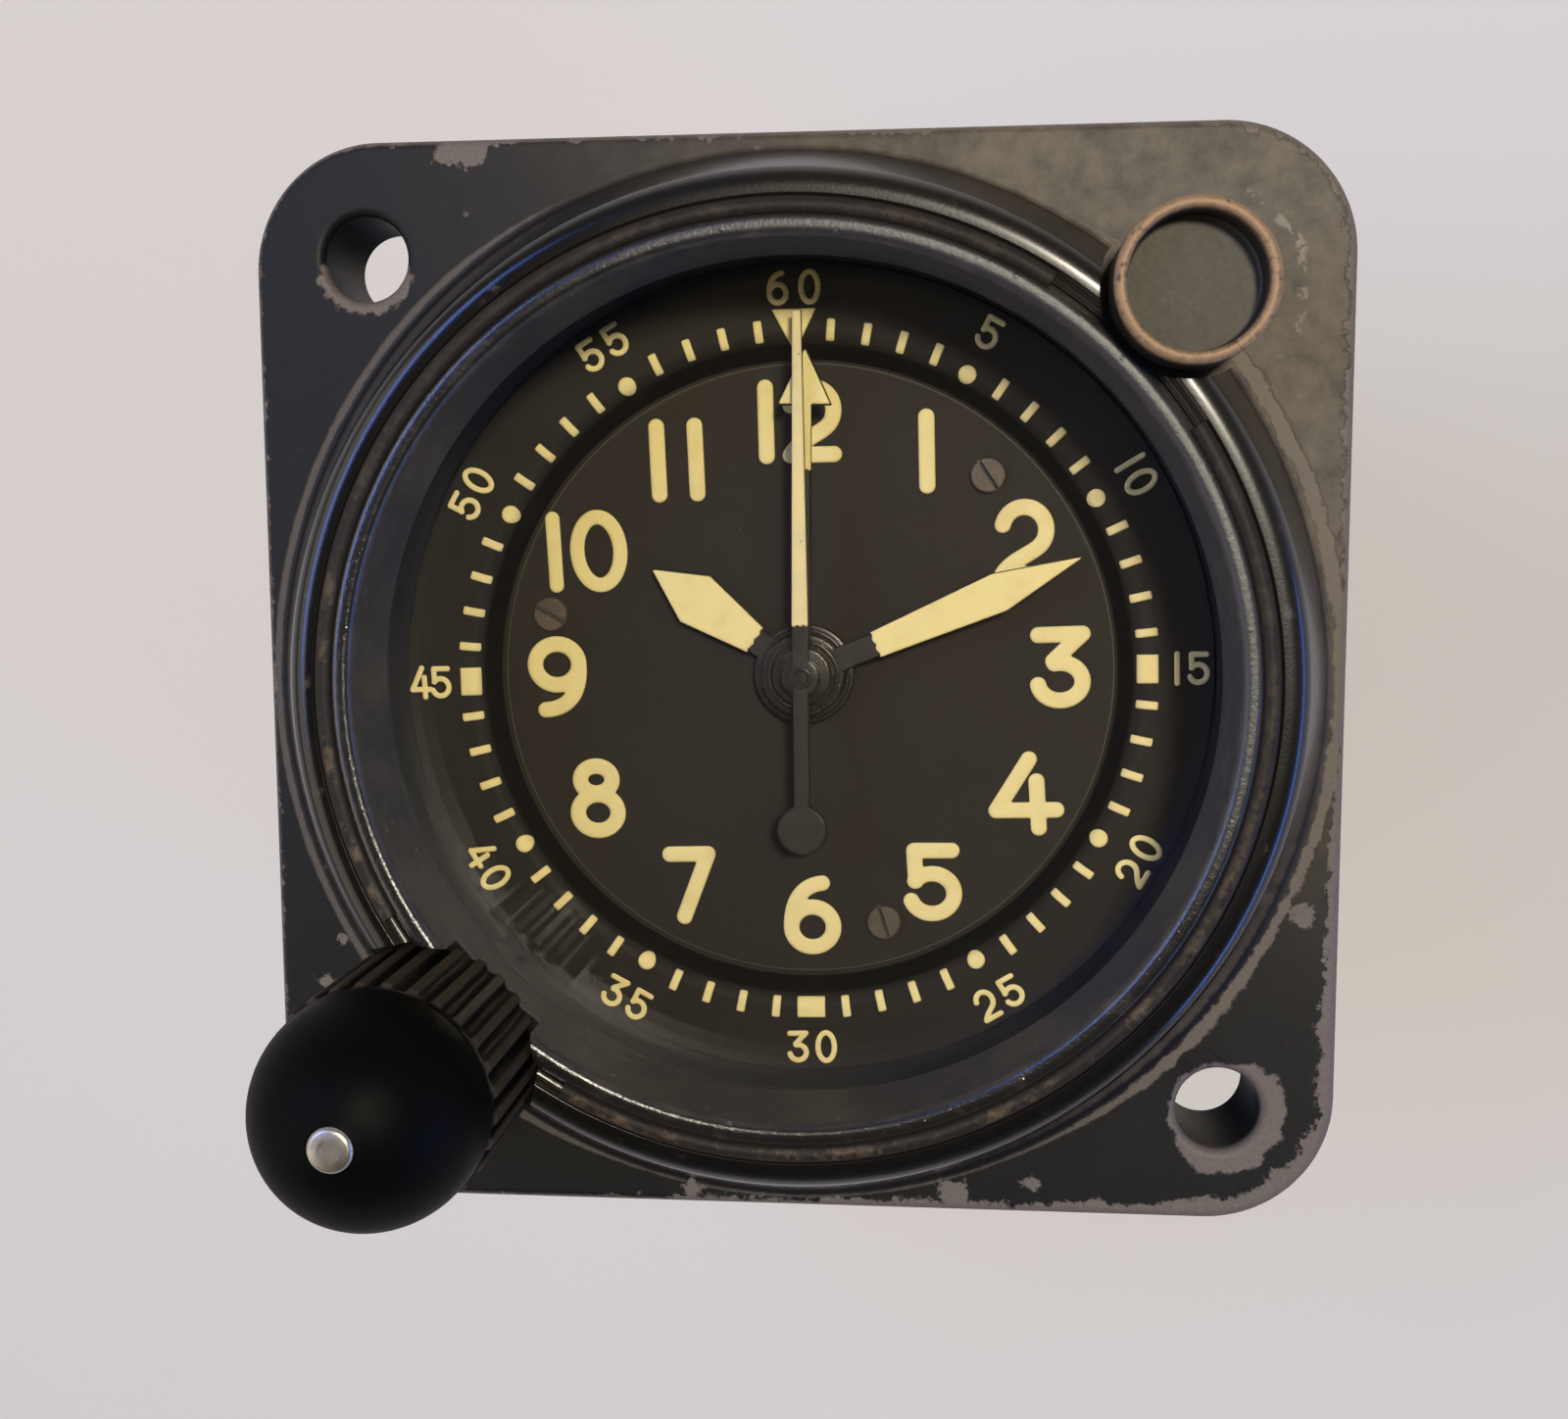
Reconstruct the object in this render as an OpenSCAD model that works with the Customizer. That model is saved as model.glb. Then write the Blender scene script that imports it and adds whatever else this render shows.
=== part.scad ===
// Aircraft panel clock with elapsed-time hands.
// The frame has its origin at the centre of the mounting-hole circle on the rear face of
// the flange. +Z points out of the dial, +Y to 12 o'clock and +X to 3 o'clock. Millimetres.

/* [Flange] */
// Side of the square flange
flange_w = 60.3; // [58:0.1:64]
// Thickness of the flange
flange_t = 6.8; // [6:0.1:9]
// Corner radius of the flange
corner_r = 7.1; // [5:0.1:9]
// Broken front edge of the flange
edge_break = 0.45; // [0.2:0.05:0.8]
// Distance between mounting holes along a side
hole_spacing = 47.625; // [46:0.005:49]
// Diameter of a mounting hole
hole_d = 4.7; // [4:0.1:5.5]
// Worn chamfer at the mouth of a mounting hole
hole_chamfer = 0.35; // [0.1:0.05:0.6]

/* [Bezel] */
// Radius of the seat for glass and glass ring
seat_r = 25.4; // [25.2:0.1:25.8]
// Width of the raised collar outside the seat
collar_w = 3; // [2.6:0.1:3.3]
// Height of the collar above the flange
collar_h = 4.2; // [3:0.1:5]
// Spread of the collar's foot beyond its width
collar_flare = 0.8; // [0.4:0.1:0.9]
// Width of the glass ring
bead_w = 1.6; // [1.4:0.1:2.2]
// Width of the lip under the glass
lip_w = 1.1; // [0.9:0.1:1.4]
// Height of the glass ring's bead above the flange
bead_h = 4.6; // [4:0.1:5.4]
// Depth of the glass top below the flange front
glass_drop = 1.7; // [1:0.1:2.5]
// Thickness of the glass
glass_t = 2; // [1.5:0.1:2.5]
// Thickness of the glass gasket
gasket_t = 0.5; // [0.3:0.1:0.8]
// Thickness of the snap ring wire
snap_d = 1.0; // [0.7:0.1:1.2]
// Angle of the split in the snap ring
snap_split = 6; // [4:1:12]

/* [Case] */
// Wall of the rear can
can_wall = 1.3; // [1:0.1:1.4]
// Free height between the movement and the rear cover
rear_clear = 3.3; // [1.5:0.1:10]
// Outer radius of the stem and pusher lobes
lobe_r = 5.2; // [5.1:0.1:5.6]
// Depth of the can rim inside the flange
rim_depth = 2; // [1:0.1:2.2]
// Thickness of the rear cover
cover_t = 1.6; // [1.4:0.1:2.4]

/* [Dial] */
// Depth of the minute ring face below the flange front
ring_drop = 7.5; // [7.2:0.1:8]
// Step from the minute ring face down to the dial
ring_step = 2.3; // [1.9:0.1:2.6]
// Width of the minute ring face
ring_w = 4.45; // [4:0.05:4.9]
// Width of the bevel from the minute ring to the dial
bevel_w = 0.85; // [0.5:0.05:1.2]
// Thickness of the dial
dial_t = 0.8; // [0.6:0.1:1]
// Turn of dial and hands in the case, anticlockwise
dial_turn = 1.2; // [-2:0.1:2]
// Distance of the dial screws inside the bevel
screw_inset = 2.75; // [2.3:0.05:3.2]
// Diameter of a dial screw head
dial_screw_d = 2.1; // [1.8:0.1:2.4]

/* [Hands] */
// Length of the hour hand
hour_len = 11.2; // [10:0.1:12]
// Length of the minute hand
minute_len = 17.9; // [17:0.1:19]
// Length of the elapsed-minutes hand
elapsed_len = 19.2; // [18:0.1:20.5]
// Length of the sweep seconds hand
sweep_len = 21.3; // [20:0.1:22.5]
// Thickness of a hand
hand_t = 0.4; // [0.3:0.05:0.45]
// Angle of the hour hand, clockwise from 12
hour_angle = 305.6; // [0:0.1:360]
// Angle of the minute hand, clockwise from 12
minute_angle = 68.2; // [0:0.1:360]
// Angle of the elapsed-minutes hand, clockwise from 12
elapsed_angle = 2; // [0:0.1:360]
// Angle of the sweep seconds hand, clockwise from 12
sweep_angle = 0.8; // [0:0.1:360]

/* [Knob and pusher] */
// Distance of stem and pusher outside the collar, on the diagonal
stem_gap = 1.1; // [0.9:0.1:1.4]
// Radius of the knob skirt
knob_r = 6.4; // [5.5:0.1:6.5]
// Height of the knob skirt's foot above the flange
knob_foot = 1.9; // [1.5:0.1:2.6]
// Height of the skirt's top above the flange
knob_skirt = 11; // [9:0.1:11.4]
// Step from the skirt in to the smooth cap
cap_step = 0.2; // [0.15:0.05:0.7]
// Height of the dome's top above the flange
knob_top = 17.8; // [16:0.1:19]
// Number of flutes round the knob
flutes = 28; // [20:1:32]
// Radius of a flute
flute_r = 0.45; // [0.3:0.05:0.5]
// Diameter of the metal pin in the knob
knob_pin_d = 2.4; // [2:0.1:2.8]
// Radius of the winding stem
stem_r = 1.5; // [1.2:0.1:1.7]
// Pull of the knob from winding to setting
knob_pull = 1.4; // [1.4:0.1:1.5]
// Radius of the pusher button
button_r = 4.15; // [3.8:0.05:4.3]
// Height of the button rim above the flange
button_top = 7; // [6.5:0.1:8]
// Depth of the recess in the button
button_recess = 2.2; // [1.5:0.1:2.6]
// Travel of the pusher
pusher_travel = 2.2; // [1.5:0.1:2.3]
// Radius of the pusher stem
pusher_r = 1.1; // [0.9:0.1:1.2]
// Turns of the pusher spring
spring_turns = 5; // [4:1:6]
// Wire diameter of the pusher spring
spring_wire = 0.5; // [0.4:0.05:0.6]

/* [Movement] */
// Gap from dial to front plate
plate_gap = 3.9; // [3.9:0.1:4.2]
// Thickness of a movement plate
plate_t = 2; // [1.6:0.1:2.4]
// Gap between the movement plates and the can
plate_play = 0.4; // [0.3:0.05:0.5]
// Clear height between the plates
pillar_h = 12; // [12:0.1:13]
// Radius of a plate pillar
pillar_r = 1.5; // [1.2:0.1:1.8]
// Radial running clearance of a shaft in its hole
run_gap = 0.05; // [0.03:0.01:0.08]
// Gap left between pieces that are fixed together
fit_gap = 0.02; // [0.01:0.01:0.03]
// Radius of the barrel drum
drum_r = 7; // [6:0.1:7.3]
// Height of the barrel
barrel_h = 7.3; // [6:0.1:7.6]
// Turns of the mainspring
mainspring_turns = 5; // [4:1:6]
// Radius of the balance wheel rim
balance_r = 6.3; // [5.5:0.1:6.6]
// Turns of the hairspring
hairspring_turns = 4; // [3:1:5]

/* [Hidden] */
$fn = 64;

// Radii that follow from the glass seat
collar_r = seat_r + collar_w;
foot_r = min(collar_r + collar_flare, flange_w / 2 - edge_break - 0.1);
well_r = seat_r - bead_w;
bore_r = seat_r - lip_w;
ring_play = 0.1;
ring_r = bore_r - ring_play;
ring_in_r = ring_r - ring_w;
bevel_r = ring_in_r - bevel_w;
screw_circle_r = bevel_r - screw_inset;
can_inset = 0.1;
can_r = collar_r - can_inset;
plate_r = can_r - can_wall - plate_play;
stem_d = collar_r + stem_gap;

// Height of a cut that opens upwards
open_h = 40;

// Heights from the seating face
z_front = flange_t;
z_glass = z_front - glass_drop;
z_gasket = z_glass - glass_t;
z_lip = z_gasket - gasket_t;
z_ring = z_front - ring_drop;
z_dial = z_ring - ring_step;
z_dial_back = z_dial - dial_t;
z_plate = z_dial_back - plate_gap;
z_train = z_plate - plate_t;
z_back = z_train - pillar_h;
z_rear = z_back - plate_t;

// Wheel planes, each the front face of its wheels
hour_wheel_t = 0.6;
motion_t = 0.9;
winding_t = 1.1;
z_hour_wheel = z_dial_back - 0.4;
z_motion = z_dial_back - 1.3;
z_winding = z_motion - motion_t - 0.3;
z_barrel = z_train + 0.2 - 0.7;
barrel_teeth_t = 1.2;
wheel_t = 0.8;
z_intermediate = z_barrel - barrel_h - 0.7;
z_centre = z_train - 3.6;
z_third = z_train - 1.3;
z_fourth = z_train - 5.7;
escape_t = 0.8;
z_escape = z_rear - 0.6;
z_elapsed = z_rear - 1.8;
z_recorder = z_rear - 3.6;
z_heart = z_rear - 5.4;
z_bridge = z_rear - 7;
bridge_t = 1.4;
z_cover = z_bridge - bridge_t - rear_clear;
case_depth = cover_t - z_cover;
z_balance = z_rear - 3.4;
balance_t = 1.2;
z_cock = z_rear - 5.2;
cock_t = 1.2;

// Hand planes, each the rear face of its hand
z_hour_hand = z_dial + 0.8;
z_minute_hand = z_dial + 1.9;
z_elapsed_hand = z_dial + 2.8;
z_sweep_hand = z_dial + 3.7;

// Radii of the concentric centre stack
sweep_r = 0.4;
elapsed_in = sweep_r + run_gap;
elapsed_r = 0.8;
centre_in = elapsed_r + run_gap;
centre_r = 1.3;
cannon_in = centre_r + run_gap;
cannon_r = 1.9;
hour_in = cannon_r + run_gap;
hour_r = 2.5;
dial_hole_r = hour_r + 0.3;

// Tooth counts
stem_n = 12;
idler_n = 12;
minute_n = 36;
cannon_n = 12;
minute_pinion_n = 10;
hour_n = 40;
ratchet_n = 22;
barrel_n = 36;
intermediate_pinion_n = 6;
intermediate_n = 24;
centre_pinion_n = 6;
centre_n = 48;
third_pinion_n = 6;
third_n = 45;
fourth_pinion_n = 6;
fourth_n = 60;
escape_pinion_n = 6;
escape_n = 15;
sweep_n = 6;
recorder_n = 48;
recorder_pinion_n = 6;
elapsed_n = 45;

// Modules. The winding and setting wheels fill the diagonal from centre to stem
motion_m = 2 * stem_d / (stem_n + 2 * idler_n + 2 * minute_n + cannon_n);
hour_m = motion_m * (cannon_n + minute_n) / (minute_pinion_n + hour_n);
centre_m = 0.35;
third_m = 0.33;
fourth_m = 0.25;
recorder_m = 0.34;
elapsed_m = recorder_m * (sweep_n + recorder_n) / (recorder_pinion_n + elapsed_n);

// Wheel axes in plan
function polar(r, a) = [r * cos(a), r * sin(a)];
function heading(p, q) = atan2(q[1] - p[1], q[0] - p[0]);
function between(m, a, b) = m * (a + b) / 2;
stem_dir = 225;
pusher_dir = 45;
stem_at = polar(stem_d, stem_dir);
pusher_at = polar(stem_d, pusher_dir);
idler_at = polar(stem_d - between(motion_m, stem_n, idler_n), stem_dir);
minute_at = polar(between(motion_m, minute_n, cannon_n), stem_dir);
barrel_at = idler_at + polar(between(motion_m, idler_n, ratchet_n), stem_dir - 180 + 38);
barrel_d = norm(barrel_at);
// The intermediate wheel stands at a share of the barrel's distance, and its modules follow
intermediate_share = 0.5487;
intermediate_bend = 20;
intermediate_d = intermediate_share * barrel_d;
intermediate_at = polar(intermediate_d, heading([0, 0], barrel_at) - intermediate_bend);
barrel_m = 2 * norm(barrel_at - intermediate_at) / (barrel_n + intermediate_pinion_n);
intermediate_m = 2 * intermediate_d / (intermediate_n + centre_pinion_n);
third_at = polar(between(centre_m, centre_n, third_pinion_n), 100);
fourth_at = third_at + polar(between(third_m, third_n, fourth_pinion_n), 10);
escape_at = fourth_at + polar(between(fourth_m, fourth_n, escape_pinion_n), -60);
escape_r = 3.2;
pallet_dir = -75;
pallet_at = escape_at + polar(escape_r + 1.6, pallet_dir);
balance_at = pallet_at + polar(6, pallet_dir);
recorder_at = polar(between(recorder_m, sweep_n, recorder_n), 200);
reset_at = polar(17, 75);

// Radii of shafts
barrel_arbor_r = 1;
barrel_pivot_r = 0.6;
intermediate_r = 0.6;
thin_arbor_r = 0.42;
stud_r = 0.6;
staff_r = 0.4;

// Fastener places
boss_n = 3;
boss_r = 1.2;
boss_play = 0.2;
boss_circle_r = can_r - can_wall - boss_play - boss_r;
function boss_at(i) = polar(boss_circle_r, 15 + 120 * i);
rear_post_r = 1.6;
post_inset = 3.6;
post_circle_r = plate_r - post_inset;
function rear_post_at(i) = polar(post_circle_r, 15 + 120 * i);
pillar_inset = 2.6;
pillar_circle_r = plate_r - pillar_inset;
pillar_angles = [75, 165, 285, 345];
function dial_screw_at(i) = polar(screw_circle_r, 46 + dial_turn - 120 * i);
dial_slots = [123, 108, 149];
dial_post_r = 1.3;
dial_shank_r = 0.6;
small_shank_r = 0.7;
cover_shank_r = 0.8;
cover_head_r = 1.5;
cover_head_t = 0.8;

// Winding parts
bush_r = 2.6;
bush_collar_r = 3.2;
bush_collar_t = 0.7;
yoke_t = 1;
yoke_groove_r = 1;
z_yoke = z_train - 2.4;
yoke_w = 3.2;
guide_inset = 2.4;
guide_at = polar(plate_r - guide_inset, stem_dir + 8);
guide_r = 0.7;
knob_gap = 0.4;

// Pusher parts
button_gap = 0.45;
button_bore_floor = 2;
spring_r = 1.85;
z_spring = z_front - 5;
z_button = z_front + pusher_travel + 0.4;
cone_r = 2.6;
cone_tip_r = 0.9;
z_cone = z_heart + 1.9;
cone_l = 3.8;
lever_t = 0.8;
lever_w = 1.8;
lever_gap = 0.2;

// Rotation that puts a gap of wheel b opposite a tooth of wheel a
function mesh(na, phase_a, nb, dir) = dir + 180 + (180 - na * (phase_a - dir)) / nb;
cannon_phase = 0;
minute_phase = mesh(cannon_n, cannon_phase, minute_n, stem_dir);
setting_phase = mesh(minute_n, minute_phase, idler_n, stem_dir);
stem_phase = mesh(idler_n, setting_phase, stem_n, stem_dir);
crown_phase = mesh(stem_n, stem_phase, idler_n, stem_dir - 180);
ratchet_phase = mesh(idler_n, crown_phase, ratchet_n, heading(idler_at, barrel_at));
hour_phase = mesh(minute_pinion_n, 0, hour_n, stem_dir - 180);
intermediate_phase = mesh(barrel_n, 0, intermediate_pinion_n, heading(barrel_at, intermediate_at));
centre_phase = mesh(intermediate_n, 0, centre_pinion_n, heading(intermediate_at, [0, 0]));
third_phase = mesh(centre_n, 0, third_pinion_n, heading([0, 0], third_at));
fourth_phase = mesh(third_n, 0, fourth_pinion_n, heading(third_at, fourth_at));
escape_phase = mesh(fourth_n, 0, escape_pinion_n, heading(fourth_at, escape_at));
recorder_phase = mesh(sweep_n, 0, recorder_n, heading([0, 0], recorder_at));
elapsed_phase = mesh(recorder_pinion_n, 0, elapsed_n, heading(recorder_at, [0, 0]));

// Shared shapes

// A vertical cylinder from z0 up to z1 at a plan point
module rod(at, r, z0, z1) {
  translate([at[0], at[1], z0]) cylinder(h = z1 - z0, r = r);
}

// A vertical tube
module tube(at, r_in, r_out, z0, z1) {
  difference() {
    rod(at, r_out, z0, z1);
    rod(at, r_in, z0 - 1, z1 + 1);
  }
}

// A flat bar with round ends
module bar2d(p, q, w) {
  translate(p) circle(d = w);
  translate(q) circle(d = w);
  translate(p) rotate(heading(p, q)) translate([0, -w / 2]) square([norm(q - p), w]);
}

// A square with round corners
module round_square(w, r) {
  square([w, w - 2 * r], center = true);
  square([w - 2 * r, w], center = true);
  for (x = [-1, 1], y = [-1, 1]) translate([x, y] * (w / 2 - r)) circle(r = r);
}

// Outline of a toothed wheel with straight flanks and wide gaps
module teeth2d(n, m) {
  step = 360 / n;
  pinion = n < 14;
  root = pinion ? 0.24 : 0.28;
  tip = pinion ? 0.09 : 0.10;
  r_root = m * (n / 2 - 1.2);
  r_tip = m * (n / 2 + (pinion ? 0.75 : 0.85));
  polygon([for (i = [0:n - 1], k = [[r_root, -root], [r_tip, -tip], [r_tip, tip], [r_root, root]])
    polar(k[0], (i + k[1]) * step)]);
}

// A toothed disc whose front face is at z, with a ring of round windows where it is large
module gear(at, n, m, z, t, phase = 0, bore = 0) {
  r = n * m / 2;
  window_r = r * 0.2;
  translate([at[0], at[1], z - t]) rotate(phase) difference() {
    linear_extrude(t) teeth2d(n, m);
    if (bore > 0) translate([0, 0, -1]) cylinder(h = t + 2, r = bore);
    if (n > 30)
      for (i = [0:4]) translate([polar(r * 0.6, i * 72)[0], polar(r * 0.6, i * 72)[1], -1])
        cylinder(h = t + 2, r = window_r);
  }
}

// A wheel and its pinion on one arbor
module arbor_wheel(at, r, z0, z1, wheel, pinion) {
  rod(at, r, z0, z1);
  gear(at, wheel[0], wheel[1], wheel[2], wheel_t, wheel[3]);
  gear(at, pinion[0], pinion[1], pinion[2], pinion[3], pinion[4]);
}

// A slotted screw, head up, its head seat at z
module slotted_screw(at, head_r, head_t, shank_r, shank_l, z, up = 1, slot = 0) {
  translate([at[0], at[1], z]) rotate(slot) mirror([0, 0, up < 0 ? 1 : 0]) {
    difference() {
      cylinder(h = head_t, r = head_r);
      translate([-head_r - 1, -head_r * 0.14, head_t * 0.55])
        cube([2 * head_r + 2, head_r * 0.28, head_t]);
    }
    translate([0, 0, -shank_l]) cylinder(h = shank_l, r = shank_r);
  }
}

// Outline of the can: a disc with a lobe for the stem and one for the pusher
module can2d(inset) {
  circle(r = can_r - inset, $fn = 128);
  for (a = [stem_dir, pusher_dir]) rotate(a) {
    translate([stem_d, 0]) circle(r = lobe_r - inset);
    translate([0, inset - lobe_r]) square([stem_d, 2 * (lobe_r - inset)]);
  }
}

// Flat spiral strip from r0 out to r1
module spiral2d(r0, r1, turns, w) {
  steps = 20 * turns;
  function at(i, side) = polar(r0 + (r1 - r0) * i / steps + side * w / 2, 18 * i);
  polygon(concat([for (i = [0:steps]) at(i, 1)], [for (i = [steps:-1:0]) at(i, -1)]));
}

// Case

module edge_cutter() {
  half = flange_w / 2;
  run = half - corner_r;
  profile = [[-edge_break, 0.01], [0.01, 0.01], [0.01, -edge_break]];
  translate([0, 0, z_front]) for (i = [0:3]) rotate(90 * i) {
    translate([half, run, 0]) rotate([90, 0, 0]) linear_extrude(2 * run) polygon(profile);
    translate([run, run, 0]) rotate_extrude(angle = 90)
      polygon([for (p = profile) [p[0] + corner_r, p[1]]]);
  }
}

module front_flange() color("#1c1c1e") {
  round = 1.3;
  top = z_front + collar_h;
  spigot_r = boss_circle_r - 0.1;
  // The collar's outside slopes from its foot to a rounded crown
  foot = [foot_r, z_front];
  crown = [collar_r - 2, top - round];
  reach = norm(crown - foot);
  lean = heading(foot, crown) - asin(round / reach);
  touch = foot + polar(sqrt(reach * reach - round * round), lean);
  difference() {
    union() {
      linear_extrude(flange_t) round_square(flange_w, corner_r);
      // Raised collar
      translate([0, 0, z_front])
        cylinder(h = touch[1] - z_front, r1 = foot_r, r2 = touch[0], $fn = 128);
      rotate_extrude($fn = 128) difference() {
        union() {
          square([crown[0], top]);
          translate(crown) circle(r = round);
        }
        // Groove for the snap ring
        translate([seat_r, top]) circle(d = snap_d + 2 * fit_gap);
      }
      // Spigot round the minute ring, and bosses that carry the movement
      tube([0, 0], bore_r, spigot_r, z_dial, 1);
      for (i = [0:boss_n - 1]) rod(boss_at(i), boss_r, z_plate, 1);
    }
    edge_cutter();
    translate([0, 0, z_lip]) cylinder(h = open_h, r = seat_r, $fn = 128);
    translate([0, 0, z_dial - 1]) cylinder(h = open_h, r = bore_r, $fn = 128);
    // Mounting holes
    for (s = [-1, 1]) translate([-s, s, 0] * hole_spacing / 2) {
      translate([0, 0, -1]) cylinder(h = flange_t + 2, d = hole_d);
      translate([0, 0, z_front - hole_chamfer])
        cylinder(h = hole_chamfer + 0.01, d1 = hole_d, d2 = hole_d + 2 * hole_chamfer);
    }
    // Bush holes, and scallops in the collar for knob and button
    for (p = [stem_at, pusher_at]) rod(p, bush_r + fit_gap, -1, z_front + 1);
    rod(stem_at, bush_collar_r + run_gap, z_front, z_front + open_h);
    rod(stem_at, knob_r + knob_gap, z_front + knob_foot - knob_gap, z_front + open_h);
    rod(pusher_at, button_r + button_gap, z_front, z_front + open_h);
    // Rebate for the rim of the can
    translate([0, 0, -1]) linear_extrude(rim_depth + 1) difference() {
      can2d(-run_gap);
      can2d(can_wall + run_gap);
    }
    for (i = [0:boss_n - 1]) rod(boss_at(i), small_shank_r + fit_gap, z_plate - 1, z_plate + 4);
  }
}

module glass_ring() color("#222226") {
  bead = 0.6;
  top = z_front + bead_h;
  groove_z = z_front + collar_h;
  outer = seat_r - run_gap;
  difference() {
    rotate_extrude($fn = 128) difference() {
      union() {
        translate([well_r, z_glass + fit_gap])
          square([outer - well_r, top - bead - z_glass - fit_gap]);
        translate([well_r + bead, top - bead]) circle(r = bead);
        translate([well_r, top - bead - 1]) square([bead, 1]);
      }
      translate([seat_r, groove_z]) circle(d = snap_d + 2 * fit_gap);
    }
    rod(stem_at, knob_r + knob_gap, z_front + knob_foot - knob_gap, z_front + open_h);
  }
}

module snap_ring() color("#6b5742") {
  // The wire runs from one side of the pusher round to the knob's scallop and stops there
  cut = asin((knob_r + knob_gap) / stem_d) + 2;
  rest = asin((button_r + button_gap) / stem_d) + snap_split / 2;
  for (a = [[stem_dir - 360 + cut, pusher_dir - rest], [pusher_dir + rest, stem_dir - cut]])
    rotate(a[0]) rotate_extrude(angle = a[1] - a[0], $fn = 128)
      translate([seat_r, z_front + collar_h]) circle(d = snap_d, $fn = 24);
}

module crystal() color("#cfe0e6", 0.3) {
  bevel = 0.3;
  r = seat_r - run_gap;
  translate([0, 0, z_gasket]) cylinder(h = glass_t - bevel, r = r, $fn = 128);
  translate([0, 0, z_glass - bevel]) cylinder(h = bevel, r1 = r, r2 = r - bevel, $fn = 128);
}

module crystal_gasket() color("#2a2622")
  tube([0, 0], bore_r, seat_r - run_gap, z_lip, z_gasket - fit_gap);

module case_can() color("#17171a")
  translate([0, 0, z_cover]) linear_extrude(rim_depth - run_gap - z_cover) difference() {
    can2d(0);
    can2d(can_wall);
  }

module rear_cover() color("#17171a") difference() {
  translate([0, 0, -case_depth]) linear_extrude(cover_t) can2d(0);
  for (i = [0:boss_n - 1]) {
    rod(rear_post_at(i), cover_shank_r + 0.1, -case_depth - 1, z_cover + 1);
    rod(rear_post_at(i), cover_head_r + 0.1, -case_depth - 1, cover_head_t + 0.1 - case_depth);
  }
}

module rear_cover_screws() color("#8c8c8c")
  for (i = [0:boss_n - 1])
    slotted_screw(rear_post_at(i), cover_head_r, cover_head_t - fit_gap, cover_shank_r, 5,
      cover_head_t + 0.1 - case_depth - fit_gap, -1);

module rear_posts() color("#b5a05a") for (i = [0:boss_n - 1]) difference() {
  rod(rear_post_at(i), rear_post_r, z_cover, z_rear);
  rod(rear_post_at(i), cover_shank_r + fit_gap, z_cover - 1, z_cover + 6);
}

// Dial

module chapter_ring() color("#1b1917") rotate_extrude($fn = 128)
  polygon([[ring_r, z_ring], [ring_in_r, z_ring], [bevel_r, z_dial], [ring_r, z_dial]]);

module dial() color("#191715") difference() {
  rod([0, 0], ring_r - 0.1, z_dial_back, z_dial - fit_gap, $fn = 128);
  rod([0, 0], dial_hole_r, z_dial_back - 1, z_dial + 1);
  for (i = [0:2]) rod(dial_screw_at(i), dial_shank_r + fit_gap, z_dial_back - 1, z_dial + 1);
}

module dial_screws() color("#4a443d")
  for (i = [0:2])
    slotted_screw(dial_screw_at(i), dial_screw_d / 2, 0.45, dial_shank_r, 2.6, z_dial,
      slot = dial_slots[i]);

module dial_posts() color("#b5a05a") for (i = [0:2]) difference() {
  rod(dial_screw_at(i), dial_post_r, z_plate, z_dial_back);
  rod(dial_screw_at(i), dial_shank_r + fit_gap, z_dial_back - 2.8, z_dial_back + 1);
}

// Hands, drawn pointing to +Y

module hand(angle, z, bore, boss_r) {
  rotate(dial_turn - angle) translate([0, 0, z]) difference() {
    union() {
      linear_extrude(hand_t) children();
      cylinder(h = hand_t, r = boss_r);
    }
    translate([0, 0, -1]) cylinder(h = hand_t + 2, r = bore + fit_gap);
  }
}

// Half outline mirrored about the hand's axis
module blade2d(half) polygon(concat(half, [for (i = [len(half) - 1:-1:0]) [-half[i][0], half[i][1]]]));

module hour_hand() color("#e8dc9a") hand(hour_angle, z_hour_hand, hour_r, hour_r + 0.55) {
  lume = hour_len - 7.65;
  blade2d([[0.8, 1], [0.8, lume], [0.92, lume], [1.7, hour_len - 3.2], [0.08, hour_len]]);
}

module minute_hand() color("#e8dc9a") hand(minute_angle, z_minute_hand, cannon_r, cannon_r + 0.6) {
  lume = 4.6;
  blade2d([[0.74, 1], [0.74, lume], [0.84, lume], [1.22, minute_len - 5.3], [0.06, minute_len]]);
}

module elapsed_minute_hand() color("#e8dc9a")
  hand(elapsed_angle, z_elapsed_hand, elapsed_r, elapsed_r + 0.95) {
  barb = elapsed_len - 3.3;
  blade2d([[0.5, 0.5], [0.42, barb], [1.62, barb], [0.1, elapsed_len]]);
}

module sweep_seconds_hand() color("#e8dc9a") hand(sweep_angle, z_sweep_hand, sweep_r, sweep_r + 0.7) {
  tail = 9.1;
  blade2d([[0.52, 0.5], [0.28, sweep_len]]);
  translate([-0.5, -tail]) square([1, tail]);
  translate([0, -tail]) circle(r = 1.5);
}

// Motion works under the dial

module cannon_pinion() color("#b8a24e") difference() {
  union() {
    rod([0, 0], cannon_r, z_plate + 0.15, z_minute_hand + hand_t);
    gear([0, 0], cannon_n, motion_m, z_motion, motion_t, cannon_phase);
  }
  rod([0, 0], cannon_in, z_plate - 1, z_minute_hand + 1);
}

module minute_wheel() color("#b8a24e") {
  gear(minute_at, minute_n, motion_m, z_motion, motion_t, minute_phase, stud_r + run_gap);
  gear(minute_at, minute_pinion_n, hour_m, z_hour_wheel, z_hour_wheel - z_motion, 0, stud_r + run_gap);
}

module hour_wheel() color("#b8a24e") {
  gear([0, 0], hour_n, hour_m, z_hour_wheel, hour_wheel_t, hour_phase, hour_in);
  tube([0, 0], hour_in, hour_r, z_hour_wheel - hour_wheel_t, z_hour_hand + hand_t);
}

module setting_wheel() color("#a9a9ab")
  gear(idler_at, idler_n, motion_m, z_motion, motion_t, setting_phase, stud_r + run_gap);

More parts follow.
